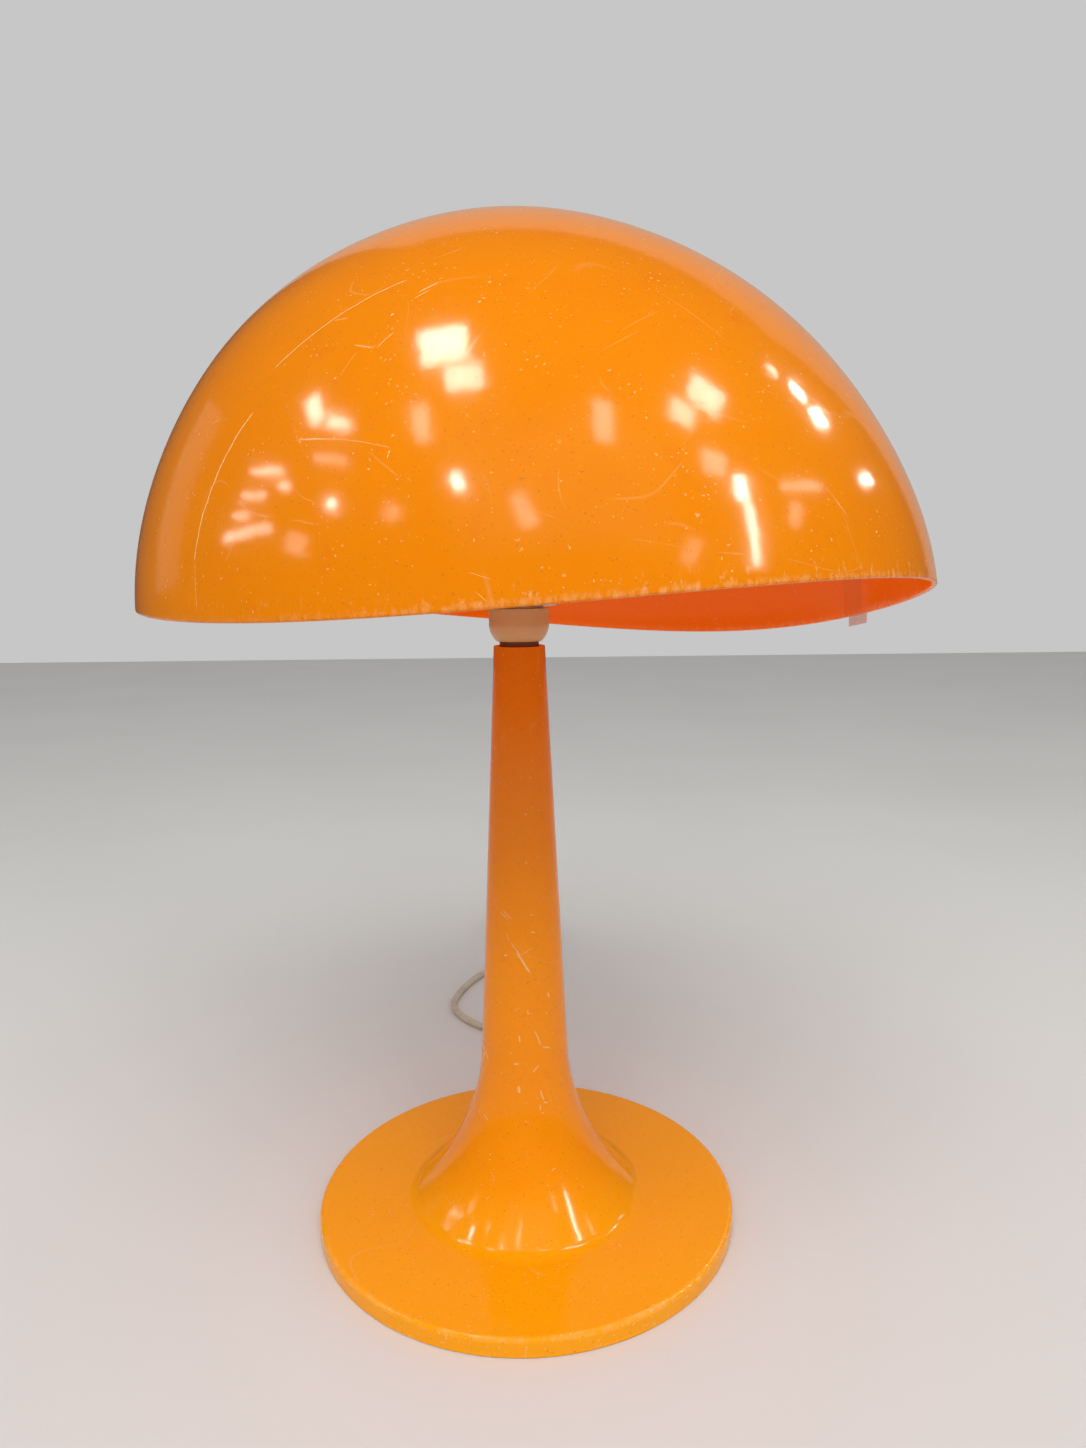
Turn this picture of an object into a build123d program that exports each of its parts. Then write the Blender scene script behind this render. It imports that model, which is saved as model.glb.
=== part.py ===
from build123d import *
from math import acos, asin, atan, cos, degrees, dist, hypot, pi, radians, sin, sqrt, tan
import os

# Mushroom table lamp. Millimetres, +Z up, the origin on the table under the middle of the foot.
# The front faces -Y, and the cord leaves at the back, towards +Y.
os.makedirs("parts", exist_ok=True)

# ---- Driving dimensions -------------------------------------------------------------------------

# Pedestal: one hollow moulding, a round dish that flares up into a tapering stem
base_radius = 129.0
lip_height = 10.9
lip_wall = 4.0
lip_round = 2.6
lip_above_table = 0.5
base_slope = 1.5            # degrees, the fall of the dish's top towards the lip
stem_height = 356.0
stem_top_radius = 15.0
stem_taper = 2.66           # degrees each side
flare_radius = 135.0
flare_end = 46.0            # degrees from upright, where the flare turns into the foot's curve
foot_radius = 12.0
pedestal_wall = 2.4
mouth_radius = 12.2
mouth_depth = 14.0
web_thickness = 4.0

# What holds the lamp together: a threaded tube from the lampholder down to the iron weight
tube_radius = 5.0
tube_bore = 3.6
tube_bottom = 20.0
tube_clearance = 0.3
nut_across_flats = 16.0
nut_height = 4.8
washer_radius = 11.0
washer_thickness = 1.5
bush_radius = 11.5
weight_clear_of_felt = 3.0
weight_boss_radius = 34.0
weight_boss_top = 36.0
weight_skirt = 22.0
weight_top_inset = 4.0      # from the end of the foot's curve to where its top starts
weight_recess_radius = 26.0
weight_recess_top = 28.0
weight_slot_height = 13.0
cord_slot_gap = 1.0

# Underside: a pressed board cover, its screws and a ring of felt
felt_thickness = 0.8
felt_inset = 4.0            # from the inside of the lip to the felt
felt_width = 23.0
cover_thickness = 1.0
cover_gap = 0.3
cover_notch = 13.0          # how far in from its edge the cord's stop needs it open
cover_screw_circle_radius = 60.0
cover_screw_radius = 1.9
cover_screw_head = 3.6
cover_screw_length = 7.0

# Lampholder: cup, barrel with bayonet slots, core with spring contacts, and the shade's ring
cup_radius = 17.5
cup_foot_radius = 13.2
cup_curve_height = 10.0
cup_height = 19.1
cup_wall = 2.2
cup_floor = 3.0
neck_gap = 2.7              # from the stem's mouth up to the cup
barrel_radius = 14.2
barrel_bore = 11.4
barrel_flange = 7.0
barrel_height = 38.0
slot_width = 2.8
bayonet_turn = 18.0         # degrees from locked to free
core_height = 12.5
plunger_radius = 2.0
plunger_pitch = 10.0
terminal_pitch = 12.0
ring_radius = 20.0
ring_flange = 4.2
ring_collar_radius = 17.6
ring_height = 9.5
ring_flutes = 12

# Bulb: a pearl bulb with a bayonet cap
bulb_radius = 30.0
bulb_cap_radius = 11.0
bulb_cap_height = 25.0
bulb_neck_radius = 10.4
bulb_height = 105.0
bulb_glass_wall = 0.9
bayonet_pin_radius = 1.0
bayonet_pin_reach = 2.4
bayonet_pin_above_base = 8.6

# Shade: a dome, and the steel carrier that hangs it on the lampholder. The moulding has sprung with
# age, as the photograph shows: its rim is oval and saddled, and its crown has crept to the left. All
# of that is greatest at the rim, or at the crown, and fades to the other.
shade_radius = 220.6
shade_height = 215.3
shade_flank_in = 10.0       # how far the middle of each flank lies inside a half ellipse
shade_flank_low = 0.3       # and what the flank's lower and upper parts depart from that
shade_flank_wave = 1.8
shade_oval_across = -5.9    # what the rim's radius gains at the sides and loses at front and back
shade_oval_askew = -9.1     # and half-way between, 45 degrees on
shade_saddle_across = 3.5   # what the rim rises in the same way
shade_saddle_askew = -9.3
shade_ripple = -1.0         # and three times round
crown_creep_x = -8.7
crown_creep_y = 4.6
shade_off_centre = 3.3
shade_wall = 2.5
shade_rim_below_hub = 3.0
shade_tilt = 3.9            # degrees, leaning back: its ring is slack and the hub sits cocked
shade_side_tilt = 0.7       # degrees, leaning right
shade_rings = 8             # sections that the dome's faces are lofted through
boss_radius = 6.0
boss_circle_radius = 118.0
boss_length = 11.0          # down from the inside of the dome
hub_radius = 22.0
hub_thickness = 1.2
hub_clearance = 0.45
arm_count = 3
arm_width = 12.0
arm_bend = 3.0
arm_knee = 20.5
arm_foot_bend = 5.0
carrier_screw_radius = 1.8
carrier_screw_head = 3.6
carrier_screw_length = 9.0

# A thin clear strip that hangs at the outside of the shade's rim, at the back right
tab_width = 20.0
tab_thickness = 0.8
tab_below_rim = 7.0
tab_above_rim = 24.0
tab_azimuth = 11.5          # degrees behind the right-hand side

# Cord, its switch and its plug
cord_radius = 2.75
cord_sides = 8              # the free cord's section is cut with flat sides, to keep it light
exit_height = 4.7
grommet_hole = 3.7
grommet_flange = 4.4
grommet_tail = 21.0
grommet_tip_radius = 3.6
floor_gap = 0.05
running_gap = 0.3           # between pieces that move past each other
fit_clearance = 0.1         # round a piece that sits still in its seat

hank_centre_x = -11.0
hank_from_switch = 41.0     # from the switch to the middle of the near half turns
hank_run = 108.0
hank_pitch = 6.1            # from one turn to the next
hank_inner_radius = 16.5
hank_waist = 5.0            # how far the tie draws each run in
hank_layer = 6.0
hank_lead_straight = 10.0   # out of the switch, before the cord comes down to the table
hank_lead_down = 28.0
tie_thickness = 0.4
tie_gap = 0.05
tie_width = 7.0

switch_length = 54.0
switch_width = 22.0
switch_height = 14.0
switch_wall = 1.8
switch_corner = 7.5
switch_bevel = 2.0
switch_near_y = 440.0
switch_screw_pitch = 37.0
switch_post_radius = 3.4
switch_screw_radius = 1.4
switch_screw_head = 2.4
rocker_length = 15.2
rocker_width = 8.4
rocker_swing = 16.0         # degrees from off to on
rocker_pin_radius = 1.2
rocker_pin_clearance = 0.06
rocker_pin_reach = 1.5      # how far each pin enters its cheek
rocker_depth = 2.6          # from the cover's top down to the pin
rocker_crest = 2.2          # of the middle of its top, above the pin
rocker_belly = 2.0
rocker_horn = 24.0          # degrees above the pin, to each end of its top
cheek_wall = 1.6

plug_width = 26.0
plug_back_width = 17.0
plug_length = 32.0
plug_corner = 5.0
plug_tail_length = 12.0
plug_tail_radius = 5.2
plug_tail_tip = 3.6
plug_blade_width = 6.3
plug_blade_thickness = 1.6
plug_blade_length = 17.0
plug_blade_spread = 6.86
plug_blade_turn = 30.0      # degrees, each blade's lean from upright

# ---- Heights and places that follow -------------------------------------------------------------

cup_bottom = stem_height + neck_gap
cup_top = cup_bottom + cup_height
cup_floor_top = cup_bottom + cup_floor
web_top = stem_height - mouth_depth
barrel_bottom = cup_top - barrel_flange - 1.8
barrel_top = barrel_bottom + barrel_height
core_bottom = barrel_bottom + 2.0
core_top = core_bottom + core_height
bulb_base = core_top + 4.3
pin_height = bulb_base + bayonet_pin_above_base
tilt_rise = tan(radians(shade_tilt))
hub_height = cup_top + running_gap + hub_thickness / 2 + cup_radius * tilt_rise + 0.1
ring_bottom = hub_height + hub_thickness / 2 + ring_radius * tilt_rise + running_gap
cover_top = felt_thickness + cover_thickness
tail_end_y = base_radius + 1.5 + grommet_tail


def around(centre, radius, angle):
    """The point of a circle at an angle, in degrees above the outward horizontal."""
    return (centre[0] + radius * cos(radians(angle)), centre[1] + radius * sin(radians(angle)))


# The stem's side is a line, the flare and the foot are arcs, and the dish's top is a line. Each
# touches the next, so the flare's centre slides along the stem until the foot meets the dish.
taper = tan(radians(stem_taper))
fall = tan(radians(base_slope))
reach_in = flare_radius * cos(radians(stem_taper)) - (flare_radius - foot_radius) * cos(radians(flare_end))
reach_up = flare_radius * sin(radians(stem_taper)) - (flare_radius - foot_radius) * sin(radians(flare_end))
stem_spread = stem_top_radius + stem_height * taper
flare_top = (
    foot_radius / cos(radians(base_slope)) - reach_up + lip_height
    + (base_radius - stem_spread - reach_in) * fall
) / (1 - taper * fall)
flare_centre = (
    stem_spread - flare_top * taper + flare_radius * cos(radians(stem_taper)),
    flare_top + flare_radius * sin(radians(stem_taper)),
)
foot_centre = around(flare_centre, flare_radius - foot_radius, 180 + flare_end)


def dish_level(radius, depth):
    """Height of the dish's top at a radius, or of a surface that lies some depth under it."""
    return lip_height + (base_radius - radius) * fall - depth / cos(radians(base_slope))


def stem_side(height, depth):
    """Radius of the stem's side at a height, or of a surface some depth inside it."""
    return stem_top_radius + (stem_height - height) * taper - depth / cos(radians(stem_taper))


def trumpet(depth, top, dish_end):
    """Side of the pedestal from the stem's top to the dish, some depth inside its outer face."""
    flare, foot = flare_radius + depth, foot_radius + depth
    stem_foot = around(flare_centre, flare, 180 + stem_taper)
    flare_foot = around(flare_centre, flare, 180 + flare_end)
    foot_end = around(foot_centre, foot, 270 - base_slope)
    Line(top, stem_foot)
    ThreePointArc(stem_foot, around(flare_centre, flare, 180 + (stem_taper + flare_end) / 2), flare_foot)
    ThreePointArc(flare_foot, around(foot_centre, foot, 225 + (flare_end - base_slope) / 2), foot_end)
    Line(foot_end, dish_end)


def rings(builder, radius):
    """The round edges of a piece that have a given radius."""
    circles = builder.edges().filter_by(GeomType.CIRCLE)
    return circles.filter_by(lambda edge: abs(edge.radius - radius) < 0.01)


def upright(y):
    """The plane across the Y axis at y, seen from the front: X runs right and Z runs up."""
    return Plane((0, y, 0), x_dir=(1, 0, 0), z_dir=(0, -1, 0))


def save(builder, name):
    """Label a finished piece and write it."""
    builder.part.label = name
    export_step(builder.part, f"parts/{name}.step")


# ---- Pedestal -----------------------------------------------------------------------------------

lip_inside = base_radius - lip_wall
weight_radius = lip_inside - felt_inset - felt_width - weight_clear_of_felt
lip_centre = (base_radius - lip_round, lip_height - lip_round * tan(radians(45 - base_slope / 2)))
with BuildPart() as pedestal:
    with BuildSketch(Plane.XZ):
        with BuildLine():
            stem_edge = (stem_top_radius, stem_height)
            lip_start = around(lip_centre, lip_round, 90 - base_slope)
            lip_end = (base_radius, lip_centre[1])
            under_dish = (lip_inside, dish_level(lip_inside, pedestal_wall))
            under_web = (stem_side(web_top - web_thickness, pedestal_wall), web_top - web_thickness)
            trumpet(0, stem_edge, lip_start)
            ThreePointArc(lip_start, around(lip_centre, lip_round, 45 - base_slope / 2), lip_end)
            Polyline(lip_end, (base_radius, lip_above_table), (lip_inside, lip_above_table), under_dish)
            trumpet(pedestal_wall, under_web, under_dish)
            Polyline(
                under_web,
                (tube_radius + tube_clearance, web_top - web_thickness),
                (tube_radius + tube_clearance, web_top),
                (mouth_radius, web_top),
                (mouth_radius, stem_height),
                stem_edge,
            )
        make_face()
    revolve(axis=Axis.Z)
    with BuildSketch(Plane((0, lip_inside - 2, exit_height), x_dir=(1, 0, 0), z_dir=(0, 1, 0))):
        Circle(grommet_hole)
    extrude(amount=lip_wall + 4, mode=Mode.SUBTRACT)
save(pedestal, "pedestal")

# ---- Weight, cover and felt ---------------------------------------------------------------------

with BuildPart() as weight:
    with BuildSketch(Plane.XZ):
        with BuildLine():
            shoulder = foot_centre[0] + weight_top_inset
            Polyline(
                (weight_recess_radius, cover_top),
                (weight_radius, cover_top),
                (weight_radius, dish_level(weight_radius, pedestal_wall)),
                (shoulder, dish_level(shoulder, pedestal_wall)),
                (weight_boss_radius + weight_skirt, dish_level(shoulder, pedestal_wall)),
                (weight_boss_radius, weight_boss_top * 0.6),
                (weight_boss_radius, weight_boss_top),
                (tube_radius + tube_clearance, weight_boss_top),
                (tube_radius + tube_clearance, weight_recess_top),
                (weight_recess_radius, weight_recess_top),
                close=True,
            )
        make_face()
    revolve(axis=Axis.Z)
    with BuildSketch(Plane.XY.offset(cover_top)):
        with Locations((0, (weight_recess_radius + weight_radius) / 2)):
            Rectangle(2 * (cord_radius + cord_slot_gap), weight_radius - weight_recess_radius + 12)
    extrude(amount=weight_slot_height, mode=Mode.SUBTRACT)
    with BuildSketch(Plane.XY.offset(cover_top)):
        with PolarLocations(cover_screw_circle_radius, 3, start_angle=30):
            Circle(cover_screw_radius)
    extrude(amount=cover_screw_length, mode=Mode.SUBTRACT)
save(weight, "weight")

with BuildPart() as base_cover:
    with BuildSketch(Plane.XY.offset(felt_thickness)):
        Circle(lip_inside - cover_gap)
        with Locations((0, lip_inside)):
            Rectangle(2 * (grommet_flange + cord_slot_gap), 2 * cover_notch, mode=Mode.SUBTRACT)
    extrude(amount=cover_thickness)
    with Locations(Plane.XY.offset(felt_thickness).rotated((180, 0, 0))):
        with PolarLocations(cover_screw_circle_radius, 3, start_angle=-30):
            CounterSinkHole(cover_screw_radius, cover_screw_head, counter_sink_angle=90)
save(base_cover, "base_cover")

with BuildPart() as one_cover_screw:
    with BuildSketch(Plane.XZ):
        with BuildLine():
            cone = min(cover_screw_head - cover_screw_radius, cover_thickness)
            Polyline(
                (0, felt_thickness),
                (cover_screw_head - 0.1, felt_thickness),
                (cover_screw_head - 0.1 - cone, felt_thickness + cone),
                (cover_screw_radius - 0.1, felt_thickness + cone),
                (cover_screw_radius - 0.1, felt_thickness + cover_screw_length),
                (0, felt_thickness + cover_screw_length),
                close=True,
            )
        make_face()
    revolve(axis=Axis.Z)

with BuildPart() as cover_screws:
    with PolarLocations(cover_screw_circle_radius, 3, start_angle=30):
        add(one_cover_screw.part)
save(cover_screws, "cover_screws")

with BuildPart() as felt_ring:
    with BuildSketch():
        Circle(lip_inside - felt_inset)
        Circle(lip_inside - felt_inset - felt_width, mode=Mode.SUBTRACT)
    extrude(amount=felt_thickness)
save(felt_ring, "felt_ring")

# ---- Threaded tube, its nuts and the bush under the lampholder ----------------------------------

tube_top = cup_floor_top + nut_height + 1.2
with BuildPart() as threaded_tube:
    with BuildSketch(Plane.XY.offset(tube_bottom)):
        Circle(tube_radius)
        Circle(tube_bore, mode=Mode.SUBTRACT)
    extrude(amount=tube_top - tube_bottom)
    chamfer(rings(threaded_tube, tube_radius), 0.5)
save(threaded_tube, "threaded_tube")

washer_bottom = weight_recess_top - washer_thickness
with BuildPart() as tube_washer:
    with BuildSketch(Plane.XY.offset(washer_bottom)):
        Circle(washer_radius)
        Circle(tube_radius + tube_clearance, mode=Mode.SUBTRACT)
    extrude(amount=washer_thickness)
save(tube_washer, "tube_washer")

with BuildPart() as tube_nuts:
    for level in (washer_bottom - nut_height, cup_floor_top):
        with BuildSketch(Plane.XY.offset(level)):
            RegularPolygon(nut_across_flats / 2, 6, major_radius=False)
            Circle(tube_radius, mode=Mode.SUBTRACT)
        extrude(amount=nut_height)
save(tube_nuts, "tube_nuts")

with BuildPart() as stem_bush:
    with BuildSketch(Plane.XY.offset(web_top)):
        Circle(bush_radius)
        Circle(tube_radius + tube_clearance, mode=Mode.SUBTRACT)
    extrude(amount=cup_bottom - web_top)
    chamfer(rings(stem_bush, bush_radius), 0.4)
save(stem_bush, "stem_bush")

# ---- Lampholder ---------------------------------------------------------------------------------

cup_drop = cup_radius - cup_foot_radius
cup_curve_radius = (cup_curve_height**2 + cup_drop**2) / (2 * cup_drop)
cup_curve_centre = (cup_radius - cup_curve_radius, cup_bottom + cup_curve_height)
cup_curve_angle = degrees(asin(cup_curve_height / cup_curve_radius))
cup_seat = barrel_radius + 1.0
with BuildPart() as holder_cup:
    with BuildSketch(Plane.XZ):
        with BuildLine():
            Polyline(
                (cup_foot_radius, cup_bottom),
                (tube_radius, cup_bottom),
                (tube_radius, cup_floor_top),
                (cup_foot_radius - cup_wall - 1, cup_floor_top),
                (cup_seat, cup_floor_top + 5),
                (cup_seat, cup_top),
                (cup_radius, cup_top),
                (cup_radius, cup_bottom + cup_curve_height),
            )
            ThreePointArc(
                (cup_radius, cup_bottom + cup_curve_height),
                around(cup_curve_centre, cup_curve_radius, -cup_curve_angle / 2),
                (cup_foot_radius, cup_bottom),
            )
        make_face()
    revolve(axis=Axis.Z)
    fillet(rings(holder_cup, cup_foot_radius), 1.0)
save(holder_cup, "holder_cup")

slot_mid = (barrel_radius + barrel_bore) / 2
pin_margin = degrees((bayonet_pin_radius + running_gap) / slot_mid)
leg_start, leg_end = -pin_margin, bayonet_turn + pin_margin
with BuildPart() as holder_barrel:
    with BuildSketch(Plane.XY.offset(barrel_bottom)):
        Circle(barrel_radius)
    extrude(amount=barrel_height)
    with BuildSketch(Plane.XY.offset(barrel_bottom)):
        Circle(cup_seat - fit_clearance)
    extrude(amount=barrel_flange)
    with BuildSketch(Plane.XY.offset(barrel_bottom)):
        Circle(barrel_bore)
    extrude(amount=barrel_height, mode=Mode.SUBTRACT)
    # Each bayonet slot runs down from the mouth and then round, to where the bulb's pin rests
    for side in (0, 180):
        with BuildSketch(Plane.XY.offset(pin_height - slot_width / 2)):
            with BuildLine():
                inner, outer = barrel_bore - 1, barrel_radius + 1
                CenterArc((0, 0), outer, side + leg_start, leg_end - leg_start)
                CenterArc((0, 0), inner, side + leg_start, leg_end - leg_start)
                Line(around((0, 0), inner, side + leg_start), around((0, 0), outer, side + leg_start))
                Line(around((0, 0), inner, side + leg_end), around((0, 0), outer, side + leg_end))
            make_face()
        extrude(amount=slot_width, mode=Mode.SUBTRACT)
        with BuildSketch(Plane.XY.offset(pin_height - slot_width / 2)):
            with Locations(Location((0, 0, 0), (0, 0, side + bayonet_turn))):
                with Locations((slot_mid, 0)):
                    Rectangle(barrel_radius - barrel_bore + 2, slot_width)
        extrude(amount=barrel_top, mode=Mode.SUBTRACT)
save(holder_barrel, "holder_barrel")

with BuildPart() as holder_core:
    with BuildSketch(Plane.XY.offset(core_bottom)):
        Circle(barrel_bore - fit_clearance)
        with GridLocations(plunger_pitch, 0, 2, 1):
            Circle(plunger_radius + fit_clearance, mode=Mode.SUBTRACT)
        with GridLocations(0, terminal_pitch, 1, 2):
            Circle(1.6, mode=Mode.SUBTRACT)
    extrude(amount=core_height)
save(holder_core, "holder_core")

with BuildPart() as contact_plungers:
    with BuildSketch(Plane.XY.offset(core_top - 5)):
        with GridLocations(plunger_pitch, 0, 2, 1):
            Circle(plunger_radius)
    extrude(amount=bulb_base - running_gap - core_top + 5)
    chamfer(contact_plungers.edges().group_by(Axis.Z)[-1], 0.8)
save(contact_plungers, "contact_plungers")

with BuildPart() as plunger_springs:
    with BuildSketch(Plane.XY.offset(core_bottom + 0.5)):
        with GridLocations(plunger_pitch, 0, 2, 1):
            Circle(plunger_radius - 0.1)
            Circle(plunger_radius - 0.6, mode=Mode.SUBTRACT)
    extrude(amount=core_height - 5.5)
save(plunger_springs, "plunger_springs")

with BuildPart() as terminal_screws:
    with BuildSketch(Plane.XY.offset(core_bottom - 1.8)):
        with GridLocations(0, terminal_pitch, 1, 2):
            Circle(2.7)
    extrude(amount=1.8)
    with BuildSketch(Plane.XY.offset(core_bottom)):
        with GridLocations(0, terminal_pitch, 1, 2):
            Circle(1.5)
    extrude(amount=6)
save(terminal_screws, "terminal_screws")

with BuildPart() as shade_ring:
    with BuildSketch(Plane.XY.offset(ring_bottom)):
        Circle(ring_radius)
        with PolarLocations(ring_radius + 0.9, ring_flutes):
            Circle(1.5, mode=Mode.SUBTRACT)
    extrude(amount=ring_flange)
    with BuildSketch(Plane.XY.offset(ring_bottom)):
        Circle(ring_collar_radius)
    extrude(amount=ring_height)
    with BuildSketch(Plane.XY.offset(ring_bottom)):
        Circle(barrel_radius + fit_clearance)
    extrude(amount=ring_height, mode=Mode.SUBTRACT)
    chamfer(rings(shade_ring, ring_collar_radius).sort_by(Axis.Z)[-1], 1.0)
save(shade_ring, "shade_ring")

# ---- Bulb ---------------------------------------------------------------------------------------

cap_bottom = bulb_base + 1.4
cap_top = bulb_base + bulb_cap_height
with BuildPart() as bulb_cap:
    with BuildSketch(Plane.XY.offset(cap_bottom)):
        Circle(bulb_cap_radius)
    extrude(amount=cap_top - cap_bottom)
    with BuildSketch(Plane.XY.offset(cap_bottom + 1.5)):
        Circle(bulb_cap_radius - 0.5)
    extrude(amount=bulb_cap_height, mode=Mode.SUBTRACT)
    with BuildSketch(Plane((-bulb_cap_radius - bayonet_pin_reach, 0, pin_height), z_dir=(1, 0, 0))):
        Circle(bayonet_pin_radius)
    extrude(amount=2 * (bulb_cap_radius + bayonet_pin_reach))
save(bulb_cap, "bulb_cap")

with BuildPart() as bulb_insulator:
    with BuildSketch(Plane.XY.offset(bulb_base + 0.4)):
        Circle(bulb_cap_radius - 1.5)
    extrude(amount=cap_bottom - bulb_base - 0.4)
save(bulb_insulator, "bulb_insulator")

with BuildPart() as bulb_contacts:
    with BuildSketch(Plane.XY.offset(bulb_base)):
        with GridLocations(plunger_pitch, 0, 2, 1):
            Circle(plunger_radius + 0.5)
    extrude(amount=0.4)
save(bulb_contacts, "bulb_contacts")

# The glass is a globe that runs into its neck through a curve touching both
globe_centre = (0, bulb_base + bulb_height - bulb_radius)
glass_bottom = cap_top - 6
neck_curve = 34.0
neck_centre_x = bulb_neck_radius + neck_curve
neck_centre = (
    neck_centre_x,
    globe_centre[1] - sqrt((bulb_radius + neck_curve) ** 2 - neck_centre_x**2),
)
neck_angle = degrees(acos(neck_centre_x / (bulb_radius + neck_curve)))
with BuildPart() as bulb_glass:
    with BuildSketch(Plane.XZ):
        for depth, how in ((0, Mode.ADD), (bulb_glass_wall, Mode.SUBTRACT)):
            with BuildLine():
                neck_top = around(neck_centre, neck_curve + depth, 180)
                meeting = around(neck_centre, neck_curve + depth, 180 - neck_angle)
                crown = (0, globe_centre[1] + bulb_radius - depth)
                Line((0, glass_bottom), (neck_top[0], glass_bottom))
                Line((neck_top[0], glass_bottom), neck_top)
                ThreePointArc(neck_top, around(neck_centre, neck_curve + depth, 180 - neck_angle / 2), meeting)
                ThreePointArc(meeting, around(globe_centre, bulb_radius - depth, 0), crown)
                Line(crown, (0, glass_bottom))
            make_face(mode=how)
    revolve(axis=Axis.Z)
save(bulb_glass, "bulb_glass")

# ---- Shade and its carrier ----------------------------------------------------------------------

# Both are drawn in the hub's own plane, which leans back by the tilt
lean = radians(shade_tilt)
hub_plane = Plane((0, 0, hub_height), x_dir=(1, 0, 0), z_dir=(0, sin(lean), cos(lean)))
hub_axis = Axis(hub_plane.origin, hub_plane.z_dir)
side_plane = Plane(hub_plane.origin, x_dir=hub_plane.x_dir, z_dir=-hub_plane.y_dir)

side_lean = radians(shade_side_tilt)
shade_plane = Plane(
    (shade_off_centre, 0, hub_height - shade_rim_below_hub),
    x_dir=(cos(side_lean), 0, -sin(side_lean)),
    z_dir=(sin(side_lean) * cos(lean), sin(lean), cos(side_lean) * cos(lean)),
)


def dome_profile(climb, depth):
    """Radius and height of the round dome at a climb of 0 at the rim to pi / 2 at the crown."""
    flank = shade_flank_in * sin(2 * climb) ** 2 + shade_flank_low * sin(4 * climb)
    inwards = 1 - (flank + shade_flank_wave * sin(6 * climb)) / shade_radius
    out = shade_radius * inwards * cos(climb) - depth * cos(climb)
    return out, shade_height * inwards * sin(climb) - depth * sin(climb)


def sprung(angle, climb, depth):
    """The place on the sprung dome at an angle round it, some depth inside its face."""
    out, up = dome_profile(climb, depth)
    fade = 1 - up / shade_height
    swell = shade_oval_across * cos(2 * angle) + shade_oval_askew * sin(2 * angle)
    lift = shade_saddle_across * cos(2 * angle) + shade_saddle_askew * sin(2 * angle)
    lift += shade_ripple * sin(3 * angle)
    out *= 1 + swell * fade / shade_radius
    x = out * cos(angle) + crown_creep_x * up / shade_height
    y = out * sin(angle) + crown_creep_y * up / shade_height
    return shade_plane.from_local_coords((x, y, up + lift * fade))


def dome_ring(climb, depth):
    """The closed spline round the sprung dome at one climb."""
    count = 16
    places = [sprung(2 * pi * step / count, climb, depth) for step in range(count)]
    knots = [step / count for step in range(count + 1)]
    return Wire([Edge.make_spline(places, periodic=True, parameters=knots)])


def dome_faces(depth):
    """The face from the rim up to the crown, some depth inside the outer one."""
    climbs = [pi / 2 * step / shade_rings for step in range(shade_rings)]
    crown = Vertex(*sprung(0, pi / 2, depth))
    return Shell.make_loft([*[dome_ring(climb, depth) for climb in climbs], crown]).faces()


def dome_solid(depth):
    """What lies under the dome's face, some depth inside it, down to the middle of its rim."""
    floor = Shell.make_loft([Vertex(*shade_plane.origin), dome_ring(0, depth)], ruled=True)
    return Solid(Shell([*dome_faces(depth), *floor.faces()]))


# The rim's edge is eased by three flats, from the outer face down and in to the inner one
rim_rings = []
for bend in (0, 60, 120, 180):
    below = sin(radians(bend)) * shade_wall / 2
    rim_rings.append(dome_ring(-below / shade_radius, shade_wall / 2 * (1 - cos(radians(bend)))))
rim_faces = Shell.make_loft(rim_rings, ruled=True).faces()

# The bosses hang from the dome's inside, whose height at their circle sets where the arms' feet lie
boss_climb = acos(boss_circle_radius / shade_radius)
for _ in range(20):
    boss_climb += (dome_profile(boss_climb, shade_wall)[0] - boss_circle_radius) / shade_radius
boss_height = dome_profile(boss_climb, shade_wall)[1] - shade_rim_below_hub - boss_length

with BuildPart() as boss_posts:
    with BuildSketch(hub_plane.offset(boss_height)):
        with PolarLocations(boss_circle_radius, arm_count, start_angle=90):
            Circle(boss_radius)
    extrude(amount=shade_height - boss_height)
    add(dome_solid(shade_wall / 2), mode=Mode.INTERSECT)

with BuildPart() as shade:
    add(Solid(Shell([*dome_faces(0), *rim_faces, *dome_faces(shade_wall)])))
    add(boss_posts.part)
    with BuildSketch(hub_plane.offset(boss_height)):
        with PolarLocations(boss_circle_radius, arm_count, start_angle=90):
            Circle(carrier_screw_radius)
    extrude(amount=carrier_screw_length, mode=Mode.SUBTRACT)
save(shade, "shade")


def hub_turned(azimuth):
    """The hub's plane with its X axis turned round the hub's own axis by an azimuth in degrees."""
    across = hub_plane.x_dir * cos(radians(azimuth)) + hub_plane.y_dir * sin(radians(azimuth))
    return Plane(hub_plane.origin, x_dir=across, z_dir=hub_plane.z_dir)


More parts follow.
